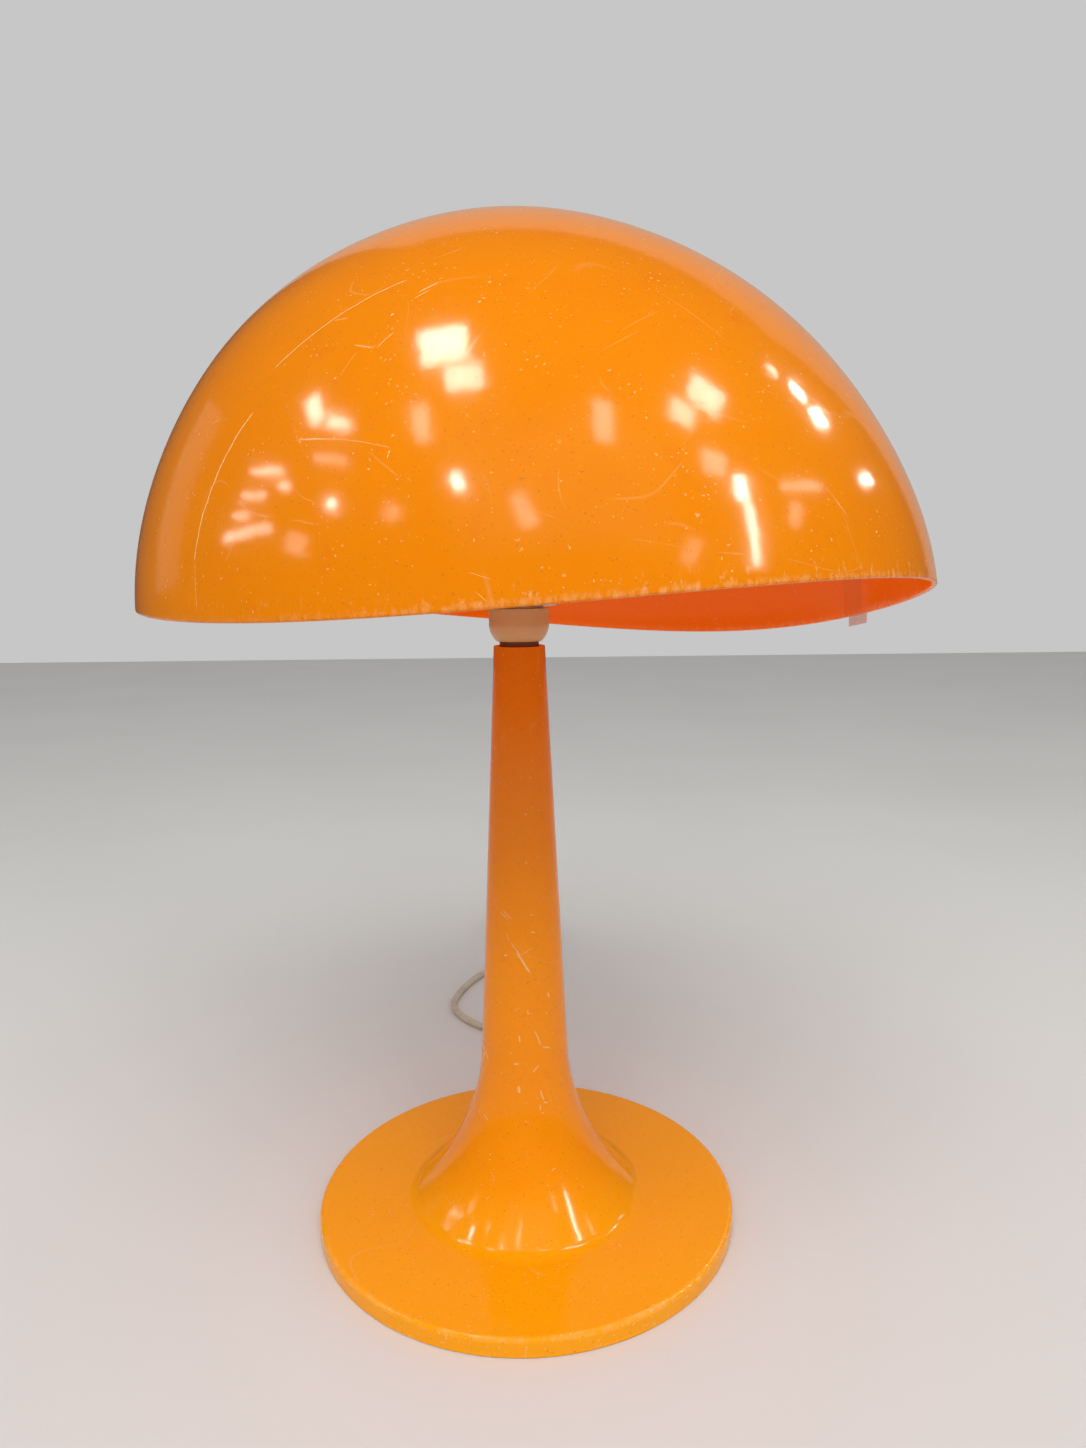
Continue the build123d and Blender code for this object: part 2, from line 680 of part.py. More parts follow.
foot_level = boss_height - hub_thickness / 2
with BuildPart() as shade_carrier:
    with BuildSketch(hub_plane.offset(-hub_thickness / 2)):
        Circle(hub_radius)
    extrude(amount=hub_thickness)
    for step in range(arm_count):
        azimuth = 90 + step * 360 / arm_count
        turned = hub_turned(azimuth)
        with BuildLine(Plane(turned.origin, x_dir=turned.x_dir, z_dir=-turned.y_dir)):
            arm_path = FilletPolyline(
                (barrel_radius + 2.5, 0),
                (arm_knee, 0),
                (boss_circle_radius - boss_radius - 3, foot_level),
                (boss_circle_radius + boss_radius, foot_level),
                radius=[arm_bend, arm_foot_bend],
            )
        with BuildSketch(Plane(arm_path @ 0, x_dir=turned.y_dir, z_dir=turned.x_dir)):
            Rectangle(arm_width, hub_thickness)
        sweep(path=arm_path)
    with BuildSketch(hub_plane.offset(-hub_thickness)):
        Circle(barrel_radius + hub_clearance)
    extrude(amount=2 * hub_thickness, mode=Mode.SUBTRACT)
    with BuildSketch(hub_plane.offset(boss_height - 2 * hub_thickness)):
        with PolarLocations(boss_circle_radius, arm_count, start_angle=90):
            Circle(carrier_screw_radius + 0.2)
    extrude(amount=3 * hub_thickness, mode=Mode.SUBTRACT)
save(shade_carrier, "shade_carrier")

with BuildPart() as carrier_screws:
    with BuildSketch(hub_plane.offset(boss_height - hub_thickness - 2)):
        with PolarLocations(boss_circle_radius, arm_count, start_angle=90):
            Circle(carrier_screw_head)
    extrude(amount=2)
    chamfer(rings(carrier_screws, carrier_screw_head).group_by(hub_axis)[0], 0.9)
    with BuildSketch(hub_plane.offset(boss_height - hub_thickness)):
        with PolarLocations(boss_circle_radius, arm_count, start_angle=90):
            Circle(carrier_screw_radius)
    extrude(amount=hub_thickness + carrier_screw_length - 1)
save(carrier_screws, "carrier_screws")

# The tab follows the dome's outer face and carries on below its rim
def tab_section(share):
    """The tab's closed outline where it is cut through at a share of its width."""
    turn = radians(tab_azimuth) + (share - 0.5) * tab_width / shade_radius
    reach = tab_above_rim + tab_below_rim
    climbs = [(step / 3 * reach - tab_below_rim) / shade_radius for step in range(4)]
    near = [sprung(turn, climb, -fit_clearance / 4) for climb in climbs]
    far = [sprung(turn, climb, -fit_clearance / 4 - tab_thickness) for climb in reversed(climbs)]
    top, bottom = Edge.make_line(near[-1], far[0]), Edge.make_line(far[-1], near[0])
    return Wire([Edge.make_spline(near), top, Edge.make_spline(far), bottom])


with BuildPart() as rim_tab:
    add(Solid.make_loft([tab_section(share / 4) for share in range(5)]))
save(rim_tab, "rim_tab")

# ---- Cord: from the lampholder down the tube, out at the back and along the table ---------------

with BuildPart() as cord_grommet:
    with BuildSketch(Plane((0, 0, exit_height), x_dir=(0, 1, 0), z_dir=(1, 0, 0))):
        with BuildLine():
            Polyline(
                (lip_inside - 1.5, cord_radius),
                (lip_inside - 1.5, grommet_hole - fit_clearance),
                (base_radius, grommet_hole - fit_clearance),
                (base_radius, grommet_flange),
                (base_radius + 1.5, grommet_flange),
                (tail_end_y, grommet_tip_radius),
                (tail_end_y, cord_radius),
                close=True,
            )
        make_face()
    revolve(axis=Axis((0, 0, exit_height), (0, 1, 0)))
save(cord_grommet, "cord_grommet")

with BuildPart() as cord_stop:
    with BuildSketch(Plane((0, lip_inside - 7, exit_height), x_dir=(1, 0, 0), z_dir=(0, 1, 0))):
        Circle(exit_height - felt_thickness - floor_gap)
        Circle(cord_radius, mode=Mode.SUBTRACT)
    extrude(amount=5.5)
save(cord_stop, "cord_stop")

with BuildPart() as inner_cord:
    with BuildLine():
        inner_path = FilletPolyline(
            (0, tail_end_y, exit_height),
            (0, 0, exit_height),
            (0, 0, tube_top - 3),
            radius=6 * cord_radius,
        )
    with BuildSketch(Plane(inner_path @ 0, x_dir=(1, 0, 0), z_dir=(0, -1, 0))):
        Circle(cord_radius)
    sweep(path=inner_path)
save(inner_cord, "inner_cord")

# The free stretch lies on the table. Its points are chosen by hand, and each corner is rounded as
# far as its two runs allow.
lying = cord_radius + floor_gap
switch_axis = switch_height / 2
outer_run = hank_inner_radius + 1.5 * hank_pitch
switch_x = hank_centre_x + outer_run
free_points = [
    (0, tail_end_y, exit_height),
    (0, tail_end_y + 18, exit_height),
    (-8, 202, lying),
    (-27, 231, lying),
    (-58, 256, lying),
    (-75, 288, lying),
    (-66, 327, lying),
    (-49, 364, lying),
    (-22, 386, lying),
    (4, 399, lying + 1.4),
    (switch_x, 421, switch_axis),
    (switch_x, switch_near_y, switch_axis),
]


def corner_radii(points, share=0.45):
    """Radius at each corner of a route: a share of its shorter run, over the half turn's tangent."""
    radii = []
    for before, here, after in zip(points, points[1:], points[2:]):
        into, out = Vector(here) - Vector(before), Vector(after) - Vector(here)
        half_turn = radians(into.get_angle(out)) / 2
        radii.append(share * min(into.length, out.length) / tan(half_turn))
    return radii


free_radii = corner_radii(free_points)
with BuildPart() as cord_lead:
    with BuildLine():
        free_path = FilletPolyline(*free_points, radius=free_radii)
    with BuildSketch(Plane(free_path @ 0, x_dir=(1, 0, 0), z_dir=free_path % 0)) as cord_section:
        RegularPolygon(cord_radius, cord_sides, rotation=180 / cord_sides)
    sweep(path=free_path)
save(cord_lead, "cord_lead")
free_length = free_path.length
print("corner radii of the free cord:", [round(radius) for radius in free_radii])
print("cord lead volume over section times length:",
      round(cord_lead.part.volume / (cord_section.sketch.area * free_length), 4))

# ---- Hank: the put-away length, spiralling in on the lower layer and out on the upper one --------

lower = cord_radius + tie_gap + tie_thickness + floor_gap
upper = lower + hank_layer
start_y = switch_near_y + switch_length
hank_near_y = start_y + hank_from_switch
far_y = hank_near_y + hank_run
half_run = hank_run / 2
waist_turn = 2 * degrees(atan(hank_waist / half_run))
step = hank_pitch / 2
radius_1 = hank_inner_radius
radius_2, radius_3, radius_4 = radius_1 + step, radius_1 + 2 * step, radius_1 + 3 * step
right_outer, right_middle, right_inner = radius_4, radius_2, radius_2 - hank_pitch
left_outer, left_middle = -radius_4, -radius_2


def drawn_run(x, going, level, end_level):
    """One run of the hank: two S-bends that draw it in at the waist. It may climb a layer."""
    inward = -hank_waist if x > 0 else hank_waist
    start = hank_near_y if going > 0 else far_y
    points = []
    for share, shift in ((0, 0), (0.125, 0.125), (0.25, 0.5), (0.375, 0.875), (0.5, 1),
                         (0.625, 0.875), (0.75, 0.5), (0.875, 0.125), (1, 0)):
        rise = level + (end_level - level) * (0.5 - 0.5 * cos(pi * share))
        points.append((hank_centre_x + x + inward * shift, start + going * hank_run * share, rise))
    return points


def half_turn(centre_x, centre_y, radius, going):
    """A half turn of the hank: at the far end from right to left, at the near end back again."""
    across = 1 if going > 0 else -1
    return [
        (
            hank_centre_x + centre_x + across * radius * cos(radians(angle)),
            centre_y + going * radius * sin(radians(angle)),
        )
        for angle in (0, 45, 90, 135, 180)
    ]


hank_route = [
    ("run", right_outer, 1, lower, lower),
    ("turn", 0, 1, radius_4, lower),
    ("run", left_outer, -1, lower, lower),
    ("turn", -step, -1, radius_3, lower),
    ("run", right_middle, 1, lower, lower),
    ("turn", 0, 1, radius_2, lower),
    ("run", left_middle, -1, lower, lower),
    ("turn", -step, -1, radius_1, lower),
    ("run", right_inner, 1, lower, upper),
    ("turn", -step, 1, radius_1, upper),
    ("run", left_middle, -1, upper, upper),
    ("turn", 0, -1, radius_2, upper),
    ("run", right_middle, 1, upper, upper),
    ("turn", -step, 1, radius_3, upper),
    ("run", left_outer, -1, upper, upper),
]
plug_x = hank_centre_x + left_outer
plug_face_y = hank_near_y - 2 * plug_tail_radius - 4 * cord_radius - plug_tail_length - plug_length
plug_back_y = plug_face_y + plug_length
plug_tail_y = plug_back_y + plug_tail_length
with BuildPart() as cord_hank:
    with BuildLine() as hank_line:
        drop = [
            (switch_x, start_y, switch_axis),
            (switch_x, start_y + hank_lead_straight, switch_axis),
            (switch_x, start_y + hank_lead_down, lower),
            (switch_x, hank_near_y, lower),
        ]
        FilletPolyline(*drop, radius=corner_radii(drop))
        for kind, place, going, size, level in hank_route:
            if kind == "run":
                run = drawn_run(place, going, size, level)
                ThreePointArc(run[0], run[1], run[2])
                ThreePointArc(run[2], run[3], run[4])
                ThreePointArc(run[4], run[5], run[6])
                ThreePointArc(run[6], run[7], run[8])
            else:
                turn = half_turn(place, far_y if going > 0 else hank_near_y, size, going)
                lifted = [(x, y, level) for x, y in turn]
                ThreePointArc(lifted[0], lifted[1], lifted[2])
                ThreePointArc(lifted[2], lifted[3], lifted[4])
        Line((plug_x, hank_near_y, upper), (plug_x, plug_tail_y, upper))
    hank_wire = hank_line.wires()[0]
    with BuildSketch(Plane((switch_x, start_y, switch_axis), x_dir=(1, 0, 0), z_dir=(0, 1, 0))):
        RegularPolygon(cord_radius, cord_sides, rotation=180 / cord_sides)
    sweep(path=hank_wire)
save(cord_hank, "cord_hank")
print("hank length", round(hank_wire.length), "free length", round(free_length))
print("hank volume over section times length:",
      round(cord_hank.part.volume / (cord_section.sketch.area * hank_wire.length), 4))


def least_gap(wire, spacing=2.0, apart=18.0):
    """Least gap of the tube to itself, between points that lie some way apart along it."""
    count = round(wire.length / spacing)
    points = [tuple(wire @ (index / count)) for index in range(count + 1)]
    skip = round(apart / spacing)
    nearest = min(
        dist(points[index], point)
        for index in range(count + 1)
        for point in points[index + skip:]
    )
    return nearest - 2 * cord_radius


print("hank's least gap to itself:", round(least_gap(hank_wire), 2))

# The tie goes round the drawn-in waist: five runs below, with one of them climbing, and four above
waist_y = hank_near_y + half_run
waist_left = hank_centre_x + left_outer + hank_waist
waist_corners = [
    (waist_left, lower),
    (hank_centre_x + right_outer - hank_waist, lower),
    (hank_centre_x + right_middle - hank_waist, upper),
    (waist_left, upper),
]
with BuildPart() as hank_tie:
    inside = cord_radius + tie_gap
    for reach, how in ((inside + tie_thickness, Mode.ADD), (inside, Mode.SUBTRACT)):
        with BuildSketch(upright(waist_y + tie_width / 2)):
            with BuildLine():
                Polyline(*waist_corners, close=True)
            make_face()
            offset(amount=reach, kind=Kind.ARC)
        extrude(amount=tie_width, mode=how)
save(hank_tie, "hank_tie")

# ---- In-line switch: two half shells, the rocker and two screws ----------------------------------

switch_mid = (switch_x, switch_near_y + switch_length / 2)
rocker_axis = switch_height - rocker_depth
rocker_reach = rocker_length / 2
well_length = rocker_length + 2 * running_gap
well_width = rocker_width + 2 * running_gap
hollow_width = switch_width - 2 * switch_wall
hollow_length = switch_length - 2 * switch_wall

with BuildPart() as switch_base:
    with BuildSketch():
        with Locations(switch_mid):
            RectangleRounded(switch_width, switch_length, switch_corner)
    extrude(amount=switch_axis)
    chamfer(switch_base.edges().group_by(Axis.Z)[0], switch_bevel)
    with BuildSketch(Plane.XY.offset(switch_wall)):
        with Locations(switch_mid):
            Rectangle(hollow_width - switch_corner + switch_wall, hollow_length)
            Rectangle(hollow_width, hollow_length - switch_corner + switch_wall)
            with GridLocations(0, switch_screw_pitch, 1, 2):
                Circle(switch_post_radius, mode=Mode.SUBTRACT)
    extrude(amount=switch_axis, mode=Mode.SUBTRACT)
    with BuildSketch():
        with Locations(switch_mid):
            with GridLocations(0, switch_screw_pitch, 1, 2):
                Circle(switch_screw_radius + fit_clearance)
    extrude(amount=switch_axis, mode=Mode.SUBTRACT)
    with BuildSketch():
        with Locations(switch_mid):
            with GridLocations(0, switch_screw_pitch, 1, 2):
                Circle(switch_screw_head + fit_clearance)
    extrude(amount=switch_wall, mode=Mode.SUBTRACT)
save(switch_base, "switch_base")

with BuildPart() as switch_cover:
    with BuildSketch(Plane.XY.offset(switch_axis)):
        with Locations(switch_mid):
            RectangleRounded(switch_width, switch_length, switch_corner)
    extrude(amount=switch_height - switch_axis)
    chamfer(switch_cover.edges().group_by(Axis.Z)[-1], switch_bevel)
    with BuildSketch(Plane.XY.offset(switch_axis)):
        with Locations(switch_mid):
            Rectangle(hollow_width - switch_corner + switch_wall, hollow_length)
            Rectangle(hollow_width, hollow_length - switch_corner + switch_wall)
            with GridLocations(0, switch_screw_pitch, 1, 2):
                Circle(switch_post_radius, mode=Mode.SUBTRACT)
    extrude(amount=switch_height - switch_axis - switch_wall, mode=Mode.SUBTRACT)
    cheek_bottom = rocker_axis - rocker_belly
    with BuildSketch(Plane.XY.offset(cheek_bottom)):
        with Locations(switch_mid):
            Rectangle(well_width + 2 * cheek_wall, rocker_length)
    extrude(amount=switch_height - switch_wall / 2 - cheek_bottom)
    with BuildSketch(Plane.XY.offset(switch_axis)):
        with Locations(switch_mid):
            Rectangle(well_width, well_length)
    extrude(amount=switch_height, mode=Mode.SUBTRACT)
    with BuildSketch(Plane((switch_x - well_width, switch_mid[1], rocker_axis), z_dir=(1, 0, 0))):
        Circle(rocker_pin_radius + rocker_pin_clearance)
    extrude(amount=2 * well_width, mode=Mode.SUBTRACT)
    with BuildSketch(Plane.XY.offset(switch_axis)):
        with Locations(switch_mid):
            with GridLocations(0, switch_screw_pitch, 1, 2):
                Circle(switch_screw_radius)
    extrude(amount=switch_height - switch_axis - switch_wall, mode=Mode.SUBTRACT)
save(switch_cover, "switch_cover")

# The rocker is drawn level and leans by half its swing, down at the lamp's end: switched off
rocker_lean = rocker_swing / 2
with BuildPart() as switch_rocker:
    off_plane = Plane(
        (switch_x - rocker_width / 2, switch_mid[1], rocker_axis),
        x_dir=(0, cos(radians(rocker_lean)), sin(radians(rocker_lean))),
        z_dir=(1, 0, 0),
    )
    horn = around((0, 0), rocker_reach + 1, rocker_horn)
    with BuildSketch(off_plane):
        Circle(rocker_reach)
        with BuildLine():
            Polyline(
                (-rocker_reach, -rocker_belly),
                (rocker_reach, -rocker_belly),
                horn,
                (0, rocker_crest),
                (-horn[0], horn[1]),
                close=True,
            )
        make_face(mode=Mode.INTERSECT)
    extrude(amount=rocker_width)
    with BuildSketch(off_plane.offset(-rocker_pin_reach)):
        Circle(rocker_pin_radius)
    extrude(amount=rocker_width + 2 * rocker_pin_reach)
save(switch_rocker, "switch_rocker")

with BuildPart() as switch_screws:
    with BuildSketch(Plane.XY.offset(0.3)):
        with Locations(switch_mid):
            with GridLocations(0, switch_screw_pitch, 1, 2):
                Circle(switch_screw_head)
    extrude(amount=switch_wall - 0.3)
    with BuildSketch(Plane.XY.offset(switch_wall)):
        with Locations(switch_mid):
            with GridLocations(0, switch_screw_pitch, 1, 2):
                Circle(switch_screw_radius - 0.05)
    extrude(amount=switch_height - 3 * switch_wall)
save(switch_screws, "switch_screws")

# ---- Plug: it lies flat, its middle as high as the hank's upper layer ----------------------------

with BuildPart() as plug_body:
    for y, width, high in ((plug_face_y, plug_width, 2 * upper), (plug_back_y, plug_back_width, 1.5 * upper)):
        with BuildSketch(upright(y)):
            with Locations((plug_x, upper)):
                RectangleRounded(width, high, plug_corner)
    loft()
    fillet(plug_body.edges().group_by(Axis.Y)[0], 1.5)
    with BuildSketch(Plane((plug_x, plug_back_y, upper), x_dir=(1, 0, 0), z_dir=(0, 1, 0))):
        Circle(plug_tail_radius)
    extrude(amount=plug_tail_length, taper=degrees(atan((plug_tail_radius - plug_tail_tip) / plug_tail_length)))
save(plug_body, "plug_body")

with BuildPart() as plug_pins:
    for side in (-1, 1):
        with BuildSketch(upright(plug_face_y)):
            with Locations(Location((plug_x + side * plug_blade_spread, upper, 0), (0, 0, side * plug_blade_turn))):
                Rectangle(plug_blade_thickness, plug_blade_width)
        extrude(amount=plug_blade_length)
    chamfer(plug_pins.faces().group_by(Axis.Y)[0].edges(), 0.35)
save(plug_pins, "plug_pins")
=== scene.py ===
"""The looks of a mushroom table lamp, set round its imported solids.

Lengths are metres in the frame of the solids: +Z up, the table at zero, the viewer at -Y. Each
sub-assembly is a class with its sizes as fields. It builds the meshes that the solids can't give, and
dresses the solids that stay.
"""

import logging
import math
from dataclasses import dataclass, field
from enum import Enum
from typing import Any, Iterable, Optional, Sequence, Union

import bmesh
import bpy
from mathutils import Matrix, Vector
from mathutils.bvhtree import BVHTree


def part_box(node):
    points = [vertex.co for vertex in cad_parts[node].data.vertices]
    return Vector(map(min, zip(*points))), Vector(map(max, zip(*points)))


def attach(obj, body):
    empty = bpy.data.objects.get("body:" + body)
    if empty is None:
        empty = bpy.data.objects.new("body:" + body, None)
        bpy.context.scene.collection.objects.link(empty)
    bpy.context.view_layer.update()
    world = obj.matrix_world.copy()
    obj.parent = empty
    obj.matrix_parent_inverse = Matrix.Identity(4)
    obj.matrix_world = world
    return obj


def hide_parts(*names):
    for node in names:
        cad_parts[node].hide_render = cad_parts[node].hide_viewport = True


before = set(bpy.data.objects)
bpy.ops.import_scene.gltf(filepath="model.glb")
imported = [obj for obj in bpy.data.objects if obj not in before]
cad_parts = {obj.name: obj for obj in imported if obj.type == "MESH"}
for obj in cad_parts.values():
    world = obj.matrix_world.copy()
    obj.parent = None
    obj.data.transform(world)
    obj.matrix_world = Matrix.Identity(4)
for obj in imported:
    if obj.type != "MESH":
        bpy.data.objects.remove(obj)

LOG = logging.getLogger("lamp")
MM = 0.001
TAB_AZIMUTH = 11.5
CORD_STEPS = 8
CORD_ROUNDNESS = 5
CORD_ORDER = 3

Point = tuple[float, float, float]
Colour = tuple[float, float, float]
Input = Union[float, int, str, tuple, Vector, "Value", bpy.types.NodeSocket, bpy.types.ID]


class Body(str, Enum):
    """The rigid bodies that pieces ride on."""

    LAMP = "lamp"
    SHADE = "shade_unit"


class Slot(str, Enum):
    """The names of the record's material slots."""

    ORANGE = "orange_plastic"
    STEEL = "plated_steel"
    FELT = "felt"
    SHEATH = "cord_sheath"
    STRAP = "tie_strap"


# ---- Node trees -----------------------------------------------------------------------------------


class Value:
    """One number that varies over a surface: a socket whose arithmetic adds Math nodes."""

    def __init__(self, tree: bpy.types.NodeTree, socket: bpy.types.NodeSocket) -> None:
        """Keeps the tree and the socket that gives the number."""
        self.tree = tree
        self.socket = socket

    def _math(self, operation: str, *others: Input, first: Optional[Input] = None) -> "Value":
        """Adds one Math node.

        Args:
            operation: The node's operation.
            others: What comes after this value.
            first: What comes before it, for the reflected forms.

        Returns:
            The node's result.
        """
        row = (self, *others) if first is None else (first, self)
        made = Graph(self.tree).node("ShaderNodeMath", {"operation": operation}, dict(enumerate(row)))
        return Value(self.tree, made.outputs[0])

    def __add__(self, other: Input) -> "Value":
        """This plus another."""
        return self._math("ADD", other)

    __radd__ = __add__

    def __sub__(self, other: Input) -> "Value":
        """This less another."""
        return self._math("SUBTRACT", other)

    def __rsub__(self, other: Input) -> "Value":
        """Another less this."""
        return self._math("SUBTRACT", first=other)

    def __mul__(self, other: Input) -> "Value":
        """This times another."""
        return self._math("MULTIPLY", other)

    __rmul__ = __mul__

    def __truediv__(self, other: Input) -> "Value":
        """This over another."""
        return self._math("DIVIDE", other)

    def __pow__(self, other: Input) -> "Value":
        """This raised to a power."""
        return self._math("POWER", other)

    def __abs__(self) -> "Value":
        """This without its sign."""
        return self._math("ABSOLUTE")

    def least(self, other: Input) -> "Value":
        """The smaller of this and another."""
        return self._math("MINIMUM", other)

    def most(self, other: Input) -> "Value":
        """The larger of this and another."""
        return self._math("MAXIMUM", other)

    def sine(self) -> "Value":
        """Its sine, of radians."""
        return self._math("SINE")

    def cosine(self) -> "Value":
        """Its cosine, of radians."""
        return self._math("COSINE")

    def root(self) -> "Value":
        """Its square root."""
        return self._math("SQRT")

    def sign(self) -> "Value":
        """Minus one, nought or one."""
        return self._math("SIGN")

    def step(self, low: float, high: float) -> "Value":
        """A smooth step from 0 to 1.

        Args:
            low: Where it leaves 0. It may be above high, and the step then falls.
            high: Where it reaches 1.

        Returns:
            The step.
        """
        ends = {"From Min": low, "From Max": high}
        if low > high:
            ends = {"From Min": high, "From Max": low, "To Min": 1.0, "To Max": 0.0}
        return Graph(self.tree).value(
            "ShaderNodeMapRange", {"interpolation_type": "SMOOTHSTEP"}, {"Value": self, **ends}
        )


@dataclass(frozen=True)
class Graph:
    """A node tree that nodes are added to."""

    tree: bpy.types.NodeTree

    def node(
        self,
        kind: str,
        settings: Optional[dict[str, Any]] = None,
        inputs: Optional[dict[Union[str, int], Input]] = None,
    ) -> bpy.types.Node:
        """Adds a node.

        Args:
            kind: The node's type.
            settings: Its properties, which are set first.
            inputs: Values or links of its sockets, by name or number.

        Returns:
            The node.
        """
        made = self.tree.nodes.new(kind)
        for name, value in (settings or {}).items():
            setattr(made, name, value)
        for key, value in (inputs or {}).items():
            self.join(made.inputs[key], value)
        return made

    def join(self, socket: bpy.types.NodeSocket, value: Input) -> None:
        """Links a socket to a value's socket, or sets it.

        Args:
            socket: The input to feed.
            value: A value, a socket or a constant.
        """
        if isinstance(value, Value):
            self.tree.links.new(value.socket, socket)
        elif isinstance(value, bpy.types.NodeSocket):
            self.tree.links.new(value, socket)
        elif isinstance(value, tuple) and len(value) == 3 and len(socket.default_value) == 4:
            socket.default_value = (*value, 1.0)
        else:
            socket.default_value = value

    def value(self, kind: str, settings: dict[str, Any], inputs: dict, output: int = 0) -> Value:
        """Adds a node and returns one of its numbers."""
        return Value(self.tree, self.node(kind, settings, inputs).outputs[output])

    def position(self) -> bpy.types.NodeSocket:
        """The place on the piece, in metres."""
        return self.node("ShaderNodeTexCoord").outputs["Object"]

    def parts(self, vector: bpy.types.NodeSocket) -> tuple[Value, Value, Value]:
        """The three numbers of a vector."""
        made = self.node("ShaderNodeSeparateXYZ", {}, {0: vector})
        return tuple(Value(self.tree, socket) for socket in made.outputs[:3])

    def attribute(self, name: str) -> Value:
        """A number that the mesh carries."""
        return self.value("ShaderNodeAttribute", {"attribute_name": name}, {}, 2)

    def turned(self, vector: bpy.types.NodeSocket, turn: Point, scale: Point) -> bpy.types.NodeSocket:
        """A vector turned by degrees about each axis, then scaled.

        Args:
            vector: The vector.
            turn: Degrees about X, Y and Z.
            scale: The factors along X, Y and Z.

        Returns:
            The new vector.
        """
        turned = self.node(
            "ShaderNodeMapping", {}, {"Vector": vector, "Rotation": tuple(map(math.radians, turn))}
        )
        return self.node("ShaderNodeMapping", {}, {"Vector": turned.outputs[0], "Scale": scale}).outputs[0]

    def noise(
        self, vector: bpy.types.NodeSocket, scale: float, detail: float = 2.0, rough: float = 0.5
    ) -> Value:
        """Noise about 0.5.

        Args:
            vector: Where it is read.
            scale: Cells to the metre.
            detail: Octaves.
            rough: Weight of the finer ones.

        Returns:
            The noise.
        """
        return self.value(
            "ShaderNodeTexNoise", {}, {"Vector": vector, "Scale": scale, "Detail": detail, "Roughness": rough}
        )

    def blend(self, factor: Input, below: Input, above: Input) -> bpy.types.NodeSocket:
        """One colour over another.

        Args:
            factor: How much of the upper one, 0 to 1.
            below: The lower colour.
            above: The upper colour.

        Returns:
            The mixed colour.
        """
        return self.node(
            "ShaderNodeMix", {"data_type": "RGBA"}, {0: factor, 6: below, 7: above}
        ).outputs[2]

    def dot(self, vector: bpy.types.NodeSocket, other: Vector) -> Value:
        """How far a place lies along a direction."""
        return self.value("ShaderNodeVectorMath", {"operation": "DOT_PRODUCT"}, {0: vector, 1: other[:]}, 1)

    def bump(
        self, height: Value, distance: float, below: Optional[bpy.types.NodeSocket] = None
    ) -> bpy.types.NodeSocket:
        """A normal pushed about by a height of 0 to 1 that stands for a distance in metres.

        Args:
            height: The height.
            distance: What a height of 1 stands for.
            below: A normal to push about instead of the surface's own.

        Returns:
            The normal.
        """
        inputs = {"Height": height, "Distance": distance, "Strength": 1.0}
        if below is not None:
            inputs["Normal"] = below
        return self.node("ShaderNodeBump", {}, inputs).outputs[0]


def new_material(name: str, **surface: Input) -> tuple[bpy.types.Material, Graph, bpy.types.Node]:
    """Starts a material.

    Args:
        name: Its name.
        surface: Sockets of its shader that stay the same all over, with _ for a space.

    Returns:
        The material, its graph and its shader.
    """
    material = bpy.data.materials.new(name)
    material.use_nodes = True
    graph = Graph(material.node_tree)
    shader = material.node_tree.nodes["Principled BSDF"]
    for key, value in surface.items():
        graph.join(shader.inputs[key.replace("_", " ")], value)
    return material, graph, shader


# ---- Finishes -------------------------------------------------------------------------------------


@dataclass(frozen=True)
class Scratch:
    """One straight cut in a surface, from end to end, in millimetres.

    It lies in the plane through its ends and the way the surface faces, so that it follows a curve.
    """

    start: Point
    end: Point
    facing: Point
    width: float
    depth: float

    def mask(self, graph: Graph, place: bpy.types.NodeSocket, wobble: Value) -> Value:
        """Where the cut shows.

        Args:
            graph: The material's graph.
            place: The place on the piece.
            wobble: A number about 0 that pushes the cut off its line.

        Returns:
            Its strength, from 0 to its depth.
        """
        start, end = Vector(self.start) * MM, Vector(self.end) * MM
        along = (end - start).normalized()
        across = along.cross(Vector(self.facing)).normalized()
        out = across.cross(along).normalized()
        if out.dot(Vector(self.facing)) < 0:
            out.negate()
        length = (end - start).length
        off = abs(graph.dot(place, across) - across.dot(start) + wobble).step(self.width * 0.6 * MM, 0.0)
        run = graph.dot(place, along) - along.dot(start)
        taper = min(0.003, length / 4)
        ends = run.step(0.0, taper) * run.step(length, length - taper)
        near = (graph.dot(place, out) - (out.dot(start) - 0.03)).step(0.0, 0.004)
        return off * ends * near * self.depth


@dataclass(frozen=True)
class PlainFinish:
    """A finish with a little variation and grain, for small and inner pieces."""

    name: str
    colour: Colour
    rough: float
    metallic: float = 0.0
    grain: float = 400.0
    relief: float = 0.00003
    spread: float = 0.12
    coat: float = 0.0
    opacity: float = 1.0

    def build(self) -> bpy.types.Material:
        """Makes the material.

        Returns:
            The material.
        """
        material, graph, shader = new_material(
            self.name, Metallic=self.metallic, Coat_Weight=self.coat, Alpha=self.opacity
        )
        place = graph.position()
        mottle = graph.noise(place, 60.0, 3.0)
        fine = graph.noise(place, self.grain, 2.0)
        dark = tuple(part * (1 - self.spread) for part in self.colour)
        light = tuple(min(1.0, part * (1 + self.spread)) for part in self.colour)
        graph.join(shader.inputs["Base Color"], graph.blend(mottle, dark, light))
        graph.join(shader.inputs["Roughness"], mottle * 0.16 + (self.rough - 0.08))
        graph.join(shader.inputs["Normal"], graph.bump(fine, self.relief))
        return material


